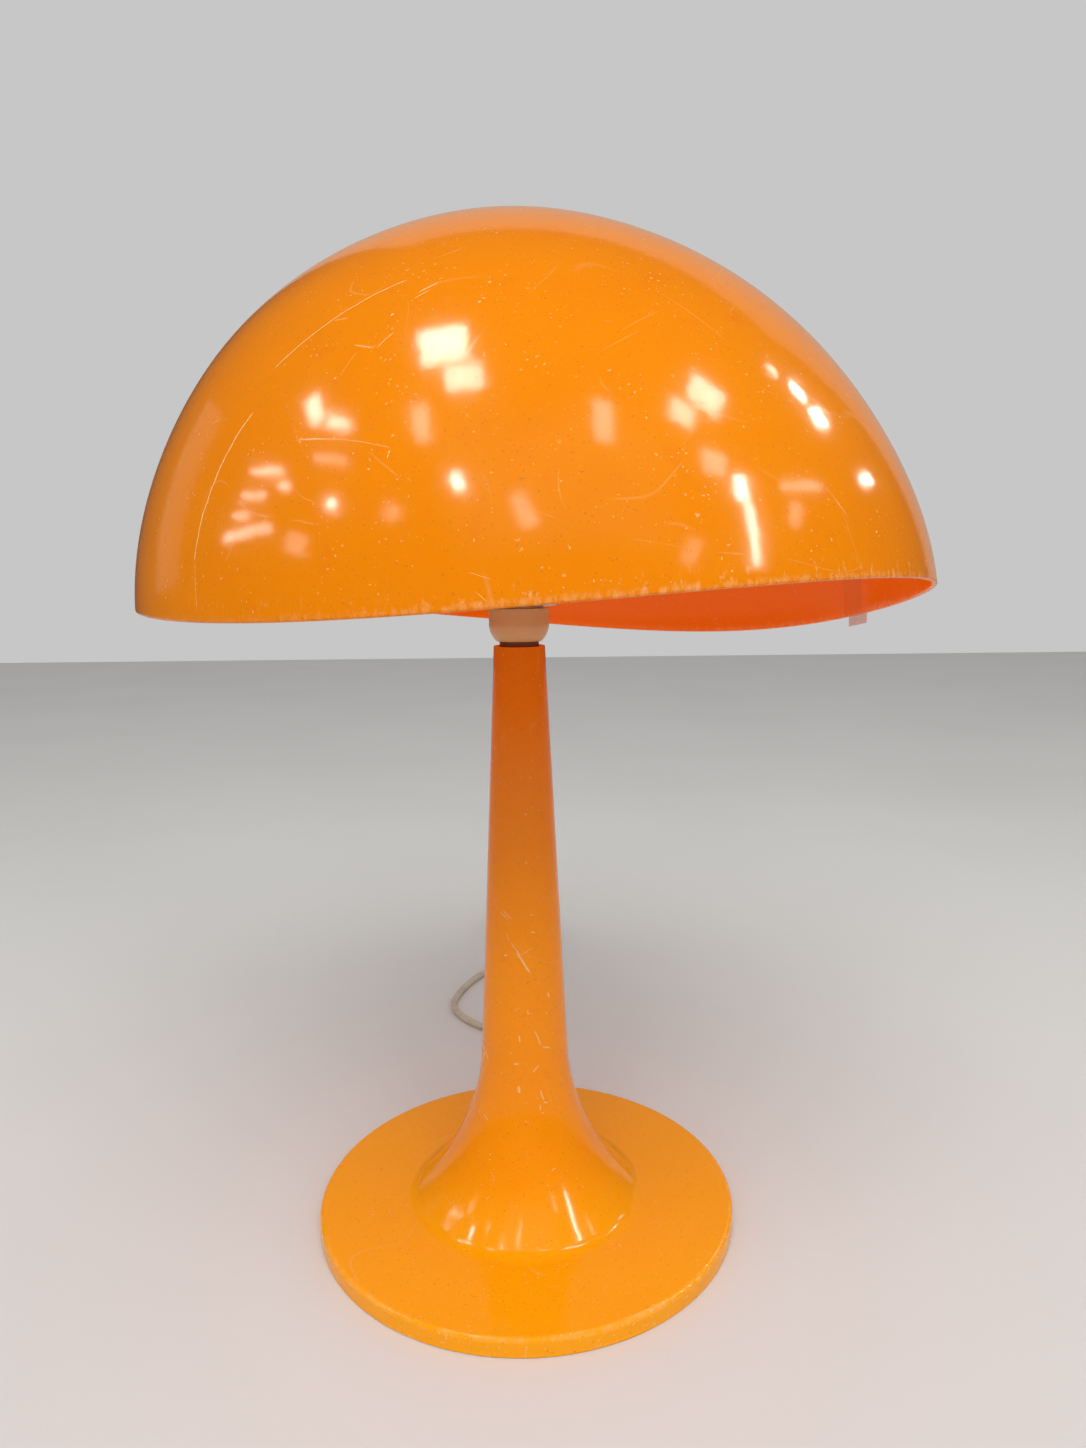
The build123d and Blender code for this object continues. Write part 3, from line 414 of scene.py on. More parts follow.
@dataclass(frozen=True)
class CastFinish:
    """Painted sand-cast iron: a coarse skin with a little rust in its hollows."""

    name: str
    paint: Colour = (0.035, 0.034, 0.033)
    rust: Colour = (0.16, 0.055, 0.02)

    def build(self) -> bpy.types.Material:
        """Makes the material.

        Returns:
            The material.
        """
        material, graph, shader = new_material(self.name, Metallic=0.3)
        place = graph.position()
        skin = graph.noise(place, 700.0, 4.0, 0.7)
        patches = graph.noise(place, 45.0, 4.0, 0.65).step(0.56, 0.66) * skin.step(0.6, 0.4)
        graph.join(shader.inputs["Base Color"], graph.blend(patches, self.paint, self.rust))
        graph.join(shader.inputs["Roughness"], skin * 0.25 + patches * 0.2 + 0.45)
        graph.join(shader.inputs["Normal"], graph.bump(skin, 0.0004))
        return material


@dataclass(frozen=True)
class FibreFinish:
    """Felt, board or webbing: short fibres that cross, of two tones."""

    name: str
    dark: Colour
    light: Colour
    scale: float = 900.0
    relief: float = 0.0003
    rough: float = 0.9

    def build(self) -> bpy.types.Material:
        """Makes the material.

        Returns:
            The material.
        """
        material, graph, shader = new_material(self.name, Sheen_Weight=0.3)
        place = graph.position()
        first = graph.noise(graph.turned(place, (0, 0, 35), (1.0, 0.12, 1.0)), self.scale, 3.0, 0.7)
        second = graph.noise(graph.turned(place, (0, 0, -50), (1.0, 0.12, 1.0)), self.scale * 1.1, 3.0, 0.7)
        weave = first.most(second)
        cloud = graph.noise(place, 40.0, 3.0)
        tone = (weave * 1.4 - 0.45 + cloud * 0.4 - 0.2).most(0.0).least(1.0)
        graph.join(shader.inputs["Base Color"], graph.blend(tone, self.dark, self.light))
        graph.join(shader.inputs["Roughness"], weave * 0.1 + (self.rough - 0.05))
        graph.join(shader.inputs["Normal"], graph.bump(weave, self.relief))
        return material


@dataclass(frozen=True)
class MetalFinish:
    """Drawn, plated or spun metal: a fine brushed grain with tarnish."""

    name: str
    bright: Colour
    tarnish: Colour
    rough: float = 0.28
    stretch: Point = (1.0, 1.0, 0.06)

    def build(self) -> bpy.types.Material:
        """Makes the material.

        Returns:
            The material.
        """
        material, graph, shader = new_material(self.name, Metallic=1.0)
        place = graph.position()
        brushed = graph.noise(graph.turned(place, (0, 0, 0), self.stretch), 2500.0, 3.0, 0.6)
        stain = graph.noise(place, 160.0, 4.0, 0.6).step(0.48, 0.68)
        graph.join(shader.inputs["Base Color"], graph.blend(stain, self.bright, self.tarnish))
        graph.join(shader.inputs["Roughness"], brushed * 0.18 + stain * 0.16 + (self.rough - 0.09))
        graph.join(shader.inputs["Normal"], graph.bump(brushed, 0.00002))
        return material


@dataclass(frozen=True)
class SheathFinish:
    """The cord's ageing beige sheath, with grime where it lies."""

    name: str
    clean: Colour = (0.62, 0.53, 0.40)
    grimy: Colour = (0.36, 0.29, 0.20)

    def build(self) -> bpy.types.Material:
        """Makes the material.

        Returns:
            The material.
        """
        material, graph, shader = new_material(self.name, Coat_Weight=0.1)
        place = graph.position()
        cloud = graph.noise(place, 70.0, 4.0, 0.6)
        specks = graph.noise(place, 1500.0, 1.0).step(0.66, 0.74)
        dirt = (cloud.step(0.45, 0.75) * 0.6 + specks * 0.5).least(1.0)
        graph.join(shader.inputs["Base Color"], graph.blend(dirt, self.clean, self.grimy))
        graph.join(shader.inputs["Roughness"], cloud * 0.2 + dirt * 0.15 + 0.32)
        graph.join(shader.inputs["Normal"], graph.bump(graph.noise(place, 900.0, 3.0), 0.00006))
        return material


@dataclass(frozen=True)
class OrangeFinish:
    """Glossy orange moulding, scratched and scuffed by fifty years of use.

    A foot has a lip, by its radius and height, with wear and a painted highlight along its top edge.
    Its stem is painted darker upwards, a painted shadow under the dome, and lighter near the table,
    painted light. A dome has a rim to scuff and an inner face painted darker and redder with a faint
    glow, painted light that comes through its wall; a strip outside it leaves a painted shadow on that
    glow. A band is given by where it starts and where it is full.
    """

    name: str
    fresh: Colour = (0.92, 0.285, 0.001)
    faded: Colour = (0.95, 0.31, 0.003)
    deep: Colour = (0.84, 0.21, 0.001)
    # Painted light: the dome's inner face darker and redder, with a faint glow, for light through the wall.
    inner: Colour = (0.92, 0.19, 0.001)
    painted_glow: Colour = (0.11, 0.014, 0.0)
    # Painted light: the foot lighter near the table.
    painted_foot_light: Colour = (0.97, 0.38, 0.002)
    # Painted shadow: the top of the stem darker under the dome.
    shaded: Colour = (0.74, 0.16, 0.001)
    pale: Colour = (0.95, 0.58, 0.26)
    grime: Colour = (0.33, 0.12, 0.02)
    scratches: tuple[Scratch, ...] = ()
    rim: bool = False
    lip: Optional[tuple[float, float]] = None
    # Heights where the stem's painted shadow and the foot's painted light start and are full.
    stem_shadow_band: tuple[float, float] = (0.14, 0.37)
    foot_light_band: tuple[float, float] = (0.05, 0.01)
    tab_side: tuple[float, float] = (0.0105, 0.009)
    tab_top: tuple[float, float] = (0.025, 0.0235)
    shine: float = 0.21
    rough: float = 0.085
    families: tuple[tuple[Point, float, float], ...] = (
        ((20, 35, 10), 11.0, 0.0035),
        ((70, -20, 55), 17.0, 0.0045),
        ((-40, 60, 25), 26.0, 0.006),
    )

    def hairlines(self, graph: Graph, place: bpy.types.NodeSocket) -> Value:
        """Fine cuts that run every way, in patches.

        Args:
            graph: The material's graph.
            place: A place in the piece's own frame, in metres.

        Returns:
            How much of a cut is there, 0 to 1.
        """
        total: Optional[Value] = None
        for turn, scale, width in self.families:
            veins = graph.noise(graph.turned(place, turn, (1.0, 1.0, 0.25)), scale, 0.6)
            patch = graph.noise(graph.turned(place, turn, (1.0, 1.0, 1.0)), scale * 1.7, 1.0).step(0.54, 0.66)
            line = abs(veins - 0.5).step(width, 0.0) * patch
            total = line if total is None else total.most(line)
        return total

    def tab_shade(self, graph: Graph, place: bpy.types.NodeSocket) -> Value:
        """Where the clear strip outside keeps daylight from coming through the wall.

        Args:
            graph: The material's graph.
            place: A place in the piece's own frame, in metres.

        Returns:
            How dark it is there, 0 to 1.
        """
        turn = math.radians(TAB_AZIMUTH)
        x, _, _ = graph.parts(place)
        across = Vector((-math.sin(turn), math.cos(turn), 0.0))
        off = abs(graph.dot(place, across)).step(*self.tab_side)
        return off * graph.attribute("rise").step(*self.tab_top) * x.step(0.0, 0.01)

    def rim_wear(self, graph: Graph, place: bpy.types.NodeSocket) -> Value:
        """Fuzzy pale scuffing along the shade's rim, strongest at the front and right.

        Args:
            graph: The material's graph.
            place: A place in the piece's own frame, in metres.

        Returns:
            How pale it is, 0 to 1.
        """
        rise = graph.attribute("rise")
        x, y, _ = graph.parts(place)
        side = (x * 2.6 - y * 1.6 + 0.35).step(0.0, 0.9) * 0.9 + 0.1
        fuzz = graph.noise(graph.turned(place, (0, 0, 0), (1.0, 1.0, 0.45)), 330.0, 4.0, 0.7)
        edge = rise.step(0.0028, 0.0004) * fuzz.step(0.42, 0.62)
        spread = rise.step(0.011, 0.0) * fuzz.step(0.56, 0.72) * side
        return (edge * side * 0.24).most(spread * 0.45)

    def lip_wear_and_highlight(self, graph: Graph, place: bpy.types.NodeSocket) -> Value:
        """The foot's rim: a pale painted highlight along its top edge, and worn chips near it.

        Args:
            graph: The material's graph.
            place: A place in the piece's own frame, in metres.

        Returns:
            How pale it is, 0 to 1.
        """
        radius, height = self.lip
        x, y, z = graph.parts(place)
        out = (x * x + y * y).root()
        fuzz = graph.noise(place, 260.0, 4.0, 0.7)
        # Painted highlight along the lip's rounded top edge; the chips below are wear.
        band = out.step(radius - 0.0032, radius - 0.0012) * z.step(height - 0.0034, height - 0.0014)
        flakes = graph.noise(place, 420.0, 2.0, 0.6).step(0.63, 0.70)
        chips = out.step(radius - 0.006, radius - 0.001) * flakes
        return (band * fuzz.step(0.4, 0.7) * 0.26).most(chips * 0.5)

    def build(self) -> bpy.types.Material:
        """Makes the material.

        Returns:
            The material.
        """
        material, graph, shader = new_material(self.name, Specular_IOR_Level=self.shine)
        place = graph.position()
        cloud = graph.noise(place, 7.0, 3.0, 0.55)
        mottle = graph.noise(place, 55.0, 4.0, 0.6)
        colour = graph.blend(cloud.step(0.35, 0.7), self.fresh, self.faded)
        colour = graph.blend(mottle.step(0.55, 0.8) * 0.35, colour, self.deep)
        if self.lip:
            _, _, z = graph.parts(place)
            # Painted shadow: the stem darkens upwards under the dome.
            colour = graph.blend(z.step(*self.stem_shadow_band) * 0.85, colour, self.shaded)
            # Painted light: the foot lighter near the table.
            colour = graph.blend(z.step(*self.foot_light_band) * 0.75, colour, self.painted_foot_light)
        if self.rim:
            # The inner face is painted darker and redder and made to glow a little: painted light that comes
            # through the wall and bounces inside the dome. The strip outside leaves a painted shadow on that
            # glow.
            inside = 1.0 - graph.attribute("outer").step(0.2, 0.9)
            colour = graph.blend(inside, colour, self.inner)
            lit = inside * (1.0 - self.tab_shade(graph, place) * 0.6)
            graph.join(shader.inputs["Emission Color"], graph.blend(lit, (0.0, 0.0, 0.0), self.painted_glow))
            shader.inputs["Emission Strength"].default_value = 1.0
        wobble = (graph.noise(place, 90.0, 2.0) - 0.5) * 0.0012
        cuts = self.hairlines(graph, place) * 0.15
        for scratch in self.scratches:
            cuts = cuts.most(scratch.mask(graph, place, wobble))
        ragged = graph.noise(place, 1300.0, 2.0, 0.7).step(0.3, 0.55)
        cuts = cuts * (ragged * 0.6 + 0.4)
        specks = graph.noise(place, 700.0, 0.0).step(0.775, 0.80) * mottle.step(0.4, 0.6)
        wear_and_highlight = cuts.most(specks * 0.4)
        if self.rim:
            wear_and_highlight = wear_and_highlight.most(self.rim_wear(graph, place))
        # The lip adds a painted highlight as well as wear.
        if self.lip:
            wear_and_highlight = wear_and_highlight.most(self.lip_wear_and_highlight(graph, place))
        dust = graph.noise(place, 900.0, 0.0).step(0.235, 0.205) * 0.35
        colour = graph.blend(wear_and_highlight, colour, self.pale)
        colour = graph.blend(dust, colour, self.grime)
        graph.join(shader.inputs["Base Color"], colour)
        rough = mottle * 0.05 + wear_and_highlight * 0.4 + dust * 0.3 + self.rough
        graph.join(shader.inputs["Roughness"], rough.least(1.0))
        peel = graph.bump(graph.noise(place, 140.0, 1.0), 0.00004)
        graph.join(shader.inputs["Normal"], graph.bump(1.0 - wear_and_highlight, 0.00005, peel))
        return material


DOME_SCRATCHES = (
    Scratch((-40.9, -142.6, 520.8), (-99.0, -145.0, 484.3), (-0.987, -0.134, 0.091), 0.5, 1.0),
    Scratch((-105.6, -152.9, 466.6), (-132.7, -159.6, 404.1), (-0.934, 0.238, 0.268), 0.5, 0.9),
    Scratch((-132.0, -159.9, 405.5), (-130.7, -165.3, 384.4), (-0.677, -0.722, 0.145), 0.4, 0.8),
    Scratch((-36.5, -152.0, 512.9), (-27.1, -149.8, 517.7), (-0.187, -0.702, 0.687), 1.1, 0.7),
    Scratch((-38.0, -154.5, 510.0), (-30.5, -152.0, 514.0), (-0.187, -0.702, 0.687), 0.5, 0.6),
    Scratch((-52.1, -168.2, 487.5), (-44.2, -165.2, 495.0), (-0.272, -0.762, 0.588), 0.4, 0.9),
    Scratch((-61.9, -161.5, 491.0), (-52.0, -167.9, 487.9), (-0.312, -0.754, 0.578), 1.2, 0.5),
    Scratch((-73.1, -145.0, 503.9), (-65.2, -148.5, 504.5), (-0.358, -0.692, 0.627), 0.8, 0.5),
    Scratch((-131.1, -132.1, 463.9), (-124.3, -137.3, 466.1), (-0.631, -0.633, 0.449), 0.4, 0.7),
    Scratch((-84.4, -176.0, 451.5), (-42.8, -197.3, 445.7), (-0.207, -0.201, 0.958), 0.3, 0.45),
    Scratch((-44.3, -198.8, 441.7), (-42.8, -197.3, 445.7), (-0.275, -0.863, 0.423), 0.3, 0.5),
    Scratch((-13.5, -221.7, 399.5), (-4.2, -223.8, 396.4), (-0.140, -0.964, 0.226), 0.4, 0.5),
    Scratch((-10.5, -223.7, 392.6), (-6.0, -225.1, 388.6), (-0.139, -0.974, 0.181), 0.4, 0.6),
    Scratch((0.5, -215.4, 424.8), (20.1, -219.2, 417.5), (-0.046, -0.935, 0.352), 0.25, 0.4),
    Scratch((53.3, -171.3, 492.9), (36.7, -182.6, 482.5), (0.144, -0.777, 0.613), 0.25, 0.35),
    Scratch((123.8, -181.6, 433.5), (136.2, -180.5, 418.2), (0.534, -0.754, 0.382), 0.35, 0.5),
    Scratch((122.6, -89.0, 524.4), (133.4, -103.6, 507.5), (0.561, -0.423, 0.711), 0.35, 0.5),
)

FRONT = (0.0, -1.0, 0.0)
STEM_SCRATCHES = (
    Scratch((-13.6, -17.6, 199.9), (-7.9, -21.0, 195.7), FRONT, 0.9, 0.75),
    Scratch((-12.0, -18.6, 201.8), (-5.9, -21.6, 195.9), FRONT, 0.9, 0.75),
    Scratch((-9.6, -20.6, 188.2), (-7.6, -21.8, 182.8), FRONT, 0.5, 1.00),
    Scratch((-7.6, -21.8, 182.8), (-1.1, -23.4, 174.3), FRONT, 0.6, 1.00),
    Scratch((-4.1, -22.9, 177.3), (4.7, -23.5, 163.3), FRONT, 1.6, 1.00),
    Scratch((-5.2, -22.9, 172.0), (6.6, -22.1, 180.1), FRONT, 0.5, 0.75),
    Scratch((4.7, -22.2, 188.9), (7.7, -21.4, 188.3), FRONT, 1.1, 1.00),
    Scratch((-11.3, -20.7, 173.4), (-9.1, -21.5, 174.3), FRONT, 1.6, 1.00),
    Scratch((4.6, -21.7, 199.2), (6.2, -21.4, 198.7), FRONT, 1.1, 0.88),
    Scratch((14.5, -19.8, 150.3), (15.6, -19.3, 146.0), FRONT, 0.9, 1.00),
    Scratch((-5.6, -24.4, 140.3), (-2.0, -24.8, 143.2), FRONT, 0.6, 0.75),
    Scratch((2.4, -24.8, 141.9), (2.8, -24.9, 138.0), FRONT, 0.8, 0.88),
    Scratch((6.1, -24.8, 129.0), (10.6, -23.8, 117.5), FRONT, 0.8, 1.00),
    Scratch((10.6, -23.8, 117.5), (16.2, -20.5, 115.4), FRONT, 1.1, 0.88),
    Scratch((-3.0, -25.5, 126.0), (-2.2, -25.8, 121.0), FRONT, 1.1, 1.00),
    Scratch((-26.0, -8.0, 113.0), (-22.2, -16.9, 105.5), FRONT, 0.9, 0.75),
    Scratch((-26.7, -10.4, 98.2), (-24.0, -13.6, 108.8), FRONT, 0.6, 0.62),
    Scratch((-6.4, -27.0, 107.7), (-3.2, -27.5, 108.1), FRONT, 1.5, 1.00),
    Scratch((5.2, -27.7, 102.5), (9.4, -26.1, 107.1), FRONT, 0.9, 0.88),
    Scratch((-3.4, -28.8, 95.0), (-2.9, -29.2, 90.0), FRONT, 2.0, 1.00),
    Scratch((9.6, -27.7, 91.5), (11.8, -27.6, 84.7), FRONT, 1.0, 1.00),
    Scratch((11.2, -27.9, 84.0), (14.3, -26.5, 83.2), FRONT, 1.0, 0.88),
    Scratch((9.5, -28.6, 83.1), (9.4, -29.0, 79.4), FRONT, 0.9, 0.75),
    Scratch((-24.6, -19.4, 72.5), (-20.7, -23.6, 70.0), FRONT, 1.0, 0.75),
)


# ---- Meshes ---------------------------------------------------------------------------------------


def add_piece(
    name: str, data: bpy.types.ID, material: bpy.types.Material, body: Body, slot: Slot, *nodes: str
) -> bpy.types.Object:
    """Puts a finished piece in the scene.

    Args:
        name: The piece's name.
        data: Its mesh or curve.
        material: What it is dressed in.
        body: What it moves with.
        slot: The record's material slot; it is not used.
        nodes: Solids that it stands for.

    Returns:
        The object.
    """
    data.name = name
    data.materials.clear()
    data.materials.append(material)
    piece = bpy.data.objects.new(name, data)
    bpy.context.scene.collection.objects.link(piece)
    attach(piece, body.value)
    if nodes:
        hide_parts(*nodes)
    LOG.info("%s rides on %s", name, body.value)
    return piece


def dress(material: bpy.types.Material, *nodes: str) -> None:
    """Gives solids that stay their material.

    Args:
        material: The finish.
        *nodes: The solids' names.
    """
    for node in nodes:
        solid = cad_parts[node]
        for place in solid.material_slots:
            place.material = material
        LOG.info("%s keeps its solid", node)


def finish_mesh(build: bmesh.types.BMesh, name: str) -> bpy.types.Mesh:
    """Merges doubles, turns faces outwards and smooths them.

    Args:
        build: The mesh under construction, which is freed.
        name: The mesh's name.

    Returns:
        The mesh.
    """
    bmesh.ops.remove_doubles(build, verts=build.verts, dist=1e-6)
    bmesh.ops.recalc_face_normals(build, faces=build.faces)
    mesh = bpy.data.meshes.new(name)
    build.to_mesh(mesh)
    build.free()
    mesh.shade_smooth()
    return mesh


def smooth_line(name: str, points: Iterable[Point], diameter: float) -> bpy.types.Curve:
    """One open spline of a cord, on its route's points.

    Args:
        name: The curve's name.
        points: The route, in millimetres.
        diameter: The cord's, in metres.

    Returns:
        The curve.
    """
    route = list(points)
    curve = bpy.data.curves.new(name, "CURVE")
    curve.dimensions = "3D"
    curve.resolution_u = CORD_STEPS
    curve.bevel_depth = diameter / 2
    curve.bevel_resolution = CORD_ROUNDNESS
    curve.use_fill_caps = True
    spline = curve.splines.new("NURBS")
    spline.points.add(len(route) - 1)
    for knot, place in zip(spline.points, route):
        knot.co = (*(part * MM for part in place), 1.0)
    spline.order_u = CORD_ORDER
    spline.use_endpoint_u = True
    return curve


# ---- Recipes --------------------------------------------------------------------------------------


class Recipe:
    """A Geometry Nodes tree with named sizes, which is evaluated once and kept as a plain mesh."""

    def __init__(self, name: str, sizes: dict[str, float]) -> None:
        """Starts the tree.

        Args:
            name: Its name.
            sizes: Its inputs and what they are set to.
        """
        self.name = name
        self.sizes = sizes
        self.tree = bpy.data.node_groups.new(name, "GeometryNodeTree")
        self.graph = Graph(self.tree)
        interface = self.tree.interface
        self.keys = {
            label: interface.new_socket(label, in_out="INPUT", socket_type="NodeSocketFloat").identifier
            for label in sizes
        }
        self.material_key = interface.new_socket(
            "Material", in_out="INPUT", socket_type="NodeSocketMaterial"
        ).identifier
        interface.new_socket("Geometry", in_out="OUTPUT", socket_type="NodeSocketGeometry")
        self.entry = self.tree.nodes.new("NodeGroupInput")
        self.leave = self.tree.nodes.new("NodeGroupOutput")

    def size(self, label: str) -> Value:
        """One of the tree's named sizes."""
        return Value(self.tree, self.entry.outputs[label])

    def join(self, kind: str, settings: dict[str, Any], inputs: dict) -> bpy.types.NodeSocket:
        """Adds a node and returns what it gives."""
        return self.graph.node(kind, settings, inputs).outputs[0]

    def vector(self, x: Input, y: Input, z: Input) -> bpy.types.NodeSocket:
        """Joins three numbers into a place."""
        return self.join("ShaderNodeCombineXYZ", {}, {0: x, 1: y, 2: z})

    def copies(self, points: bpy.types.NodeSocket, shape: bpy.types.NodeSocket) -> bpy.types.NodeSocket:
        """A shape at each of some points."""
        return self.join("GeometryNodeInstanceOnPoints", {}, {"Points": points, "Instance": shape})

    def spots(self, count: Input, radius: Input, start: Input) -> bpy.types.NodeSocket:
        """Points spaced evenly round a circle, from a start angle in radians.

        Args:
            count: How many.
            radius: The circle's radius.
            start: Where the first one stands.

        Returns:
            The points.
        """
        place = Value(self.tree, self.join("GeometryNodeInputIndex", {}, {}))
        turn = place / count * math.tau + start
        return self.join(
            "GeometryNodePoints",
            {},
            {"Count": count, "Position": self.vector(turn.cosine() * radius, turn.sine() * radius, 0.0)},
        )

    def bake(self, shape: bpy.types.NodeSocket, material: bpy.types.Material) -> bpy.types.Mesh:
        """Ends the tree, evaluates it and keeps what it makes.

        Args:
            shape: What the tree has made.
            material: What it is dressed in.

        Returns:
            The mesh.
        """
        real = self.join("GeometryNodeRealizeInstances", {}, {"Geometry": shape})
        dressed = self.join(
            "GeometryNodeSetMaterial", {}, {"Geometry": real, "Material": self.entry.outputs["Material"]}
        )
        self.graph.join(self.leave.inputs[0], dressed)
        carrier = bpy.data.objects.new(f"{self.name}_carrier", bpy.data.meshes.new(f"{self.name}_seed"))
        bpy.context.scene.collection.objects.link(carrier)
        modifier = carrier.modifiers.new(self.name, "NODES")
        modifier.node_group = self.tree
        for label, key in self.keys.items():
            modifier[key] = self.sizes[label]
        modifier[self.material_key] = material
        settled = carrier.evaluated_get(bpy.context.evaluated_depsgraph_get())
        mesh = bpy.data.meshes.new_from_object(settled)
        carrier.modifiers.clear()
        bpy.data.objects.remove(carrier)
        LOG.info("%s: %d faces", self.name, len(mesh.polygons))
        return mesh


# ---- Shade ----------------------------------------------------------------------------------------


@dataclass
class Shade:
    """The dome with its three bosses and its carrier's screws.

    The moulding has sprung with age: its rim is oval and saddled and its crown has crept sideways. All
    of that fades from the rim or the crown to the other.
    """

    radius: float = 220.6 * MM
    height: float = 215.3 * MM
    wall: float = 2.5 * MM
    flank_in: float = 10.0 * MM
    flank_low: float = 0.3 * MM
    flank_wave: float = 1.8 * MM
    oval_across: float = -5.9 * MM
    oval_askew: float = -9.1 * MM
    saddle_across: float = 3.5 * MM
    saddle_askew: float = -9.3 * MM
    ripple: float = -1.0 * MM
    creep: tuple[float, float] = (-8.7 * MM, 4.6 * MM)
    hub_height: float = 379.993 * MM
    rim_below_hub: float = 3.0 * MM
    off_centre: float = 3.3 * MM
    tilt: float = 3.9
    side_tilt: float = 0.7
    bosses: int = 3
    boss_start: float = 90.0
    boss_radius: float = 6.0 * MM
    boss_circle: float = 118.0 * MM
    boss_length: float = 11.0 * MM
    boss_ease: float = 0.5 * MM
    boss_sides: int = 40
    arm_thickness: float = 1.2 * MM
    screw_head: float = 3.6 * MM
    screw_head_height: float = 2.0 * MM
    screw_shank: float = 1.8 * MM
    screw_length: float = 9.2 * MM
    sharp_from: float = 40.0
    columns: int = 256
    wall_rows: int = 90
    rim_rows: int = 5

    def plane(self) -> Matrix:
        """Where the dome's own frame stands.

        Returns:
            Its place and turn in the lamp's frame.
        """
        lean, side = math.radians(self.tilt), math.radians(self.side_tilt)
        across = Vector((math.cos(side), 0.0, -math.sin(side)))
        up = Vector((math.sin(side) * math.cos(lean), math.sin(lean), math.cos(side) * math.cos(lean)))
        turn = Matrix((across, up.cross(across), up)).transposed().to_4x4()
        return Matrix.Translation((self.off_centre, 0.0, self.hub_height - self.rim_below_hub)) @ turn

    def hub(self) -> Matrix:
        """Where the carrier's frame stands: it leans back and nothing more.

        Returns:
            Its place and turn in the lamp's frame.
        """
        return Matrix.Translation((0.0, 0.0, self.hub_height)) @ Matrix.Rotation(
            -math.radians(self.tilt), 4, "X"
        )

    def dome(self, material: bpy.types.Material) -> bpy.types.Mesh:
        """The dome, by rule: a sheet whose rows run from the crown's inside to the crown's outside.

        Args:
            material: Its finish.

        Returns:
            The mesh, with each vertex's rise above the rim and whether it is on the outer face.
        """
        recipe = Recipe("sprung_dome", {
            "Radius": self.radius, "Height": self.height, "Wall": self.wall, "Flank In": self.flank_in,
            "Flank Low": self.flank_low, "Flank Wave": self.flank_wave, "Oval Across": self.oval_across,
            "Oval Askew": self.oval_askew, "Saddle Across": self.saddle_across,
            "Saddle Askew": self.saddle_askew, "Ripple": self.ripple, "Creep X": self.creep[0],
            "Creep Y": self.creep[1],
        })
        graph, size = recipe.graph, recipe.size
        half = self.wall_rows + self.rim_rows
        sheet = recipe.join(
            "GeometryNodeMeshGrid",
            {},
            {"Size X": 1.0, "Size Y": 2.0, "Vertices X": self.columns + 1, "Vertices Y": 2 * half + 1},
        )
        u, v, _ = graph.parts(recipe.join("GeometryNodeInputPosition", {}, {}))
        angle = u * math.tau
        zone = self.rim_rows / half
        bend = (abs(v) / zone).least(1.0) * (math.pi / 2)
        depth = size("Wall") / 2 * (1.0 - v.sign() * bend.sine())
        below = bend.cosine() * size("Wall") / 2
        climb = ((abs(v) - zone) / (1 - zone)).most(0.0) * (math.pi / 2) - below / size("Radius")
        double = (climb * 2.0).sine()
        flank = double * double * size("Flank In") + (climb * 4.0).sine() * size("Flank Low")
        inwards = 1.0 - (flank + (climb * 6.0).sine() * size("Flank Wave")) / size("Radius")
        out = climb.cosine() * (size("Radius") * inwards - depth)
        up = climb.sine() * (size("Height") * inwards - depth)
        fade = 1.0 - up / size("Height")
        across, askew = (angle * 2.0).cosine(), (angle * 2.0).sine()
        swell = size("Oval Across") * across + size("Oval Askew") * askew
        lift = size("Saddle Across") * across + size("Saddle Askew") * askew
        lift = lift + (angle * 3.0).sine() * size("Ripple")
        reach = out * (swell * fade / size("Radius") + 1.0)
        creep = up / size("Height")
        place = recipe.vector(
            reach * angle.cosine() + size("Creep X") * creep,
            reach * angle.sine() + size("Creep Y") * creep,
            up + lift * fade,
        )
        kept = recipe.join(
            "GeometryNodeStoreNamedAttribute", {"data_type": "FLOAT", "domain": "POINT"},
            {"Geometry": sheet, "Name": "rise", "Value": climb * size("Radius")},
        )
        kept = recipe.join(
            "GeometryNodeStoreNamedAttribute", {"data_type": "FLOAT", "domain": "POINT"},
            {"Geometry": kept, "Name": "outer", "Value": 1.0 - depth / size("Wall")},
        )
        moved = recipe.join("GeometryNodeSetPosition", {}, {"Geometry": kept, "Position": place})
        closed = recipe.join("GeometryNodeMergeByDistance", {}, {"Geometry": moved, "Distance": 1e-6})
        mesh = recipe.bake(closed, material)
        mesh.transform(self.plane())
        return mesh

    def with_bosses(self, mesh: bpy.types.Mesh, boss_height: float) -> bpy.types.Mesh:
        """Adds the bosses, which run up into the dome's wall.

        Args:
            mesh: The dome.
            boss_height: Of their lower faces above the hub.

        Returns:
            The whole moulding.
        """
        build = bmesh.new()
        build.from_mesh(mesh)
        tree = BVHTree.FromBMesh(build)
        hub = self.hub()
        up = hub.to_3x3() @ Vector((0, 0, 1))
        sides, ease = self.boss_sides, self.boss_ease
        outline = ((self.boss_radius - ease, 0.0), (self.boss_radius, ease), (self.boss_radius, None))
        for boss in range(self.bosses):
            turn = math.radians(self.boss_start) + math.tau * boss / self.bosses
            middle = Vector((math.cos(turn), math.sin(turn), 0)) * self.boss_circle
            rows: list[list[bmesh.types.BMVert]] = []
            for radius, level in outline:
                row = []
                for side in range(sides):
                    spin = math.tau * side / sides
                    local = middle + Vector((math.cos(spin), math.sin(spin), 0)) * radius
                    local.z = boss_height + (level or 0.0)
                    place = hub @ local
                    if level is None:
                        place = tree.ray_cast(place, up)[0] + up * self.wall / 2
                    row.append(build.verts.new(place))
                rows.append(row)
            build.faces.new(list(reversed(rows[0])))
            build.faces.new(rows[-1])
            for below, above in zip(rows, rows[1:]):
                for side in range(sides):
                    after = (side + 1) % sides
                    build.faces.new((below[side], below[after], above[after], above[side]))
        whole = finish_mesh(build, "shade_shell")
        whole.set_sharp_from_angle(angle=math.radians(self.sharp_from))
        return whole

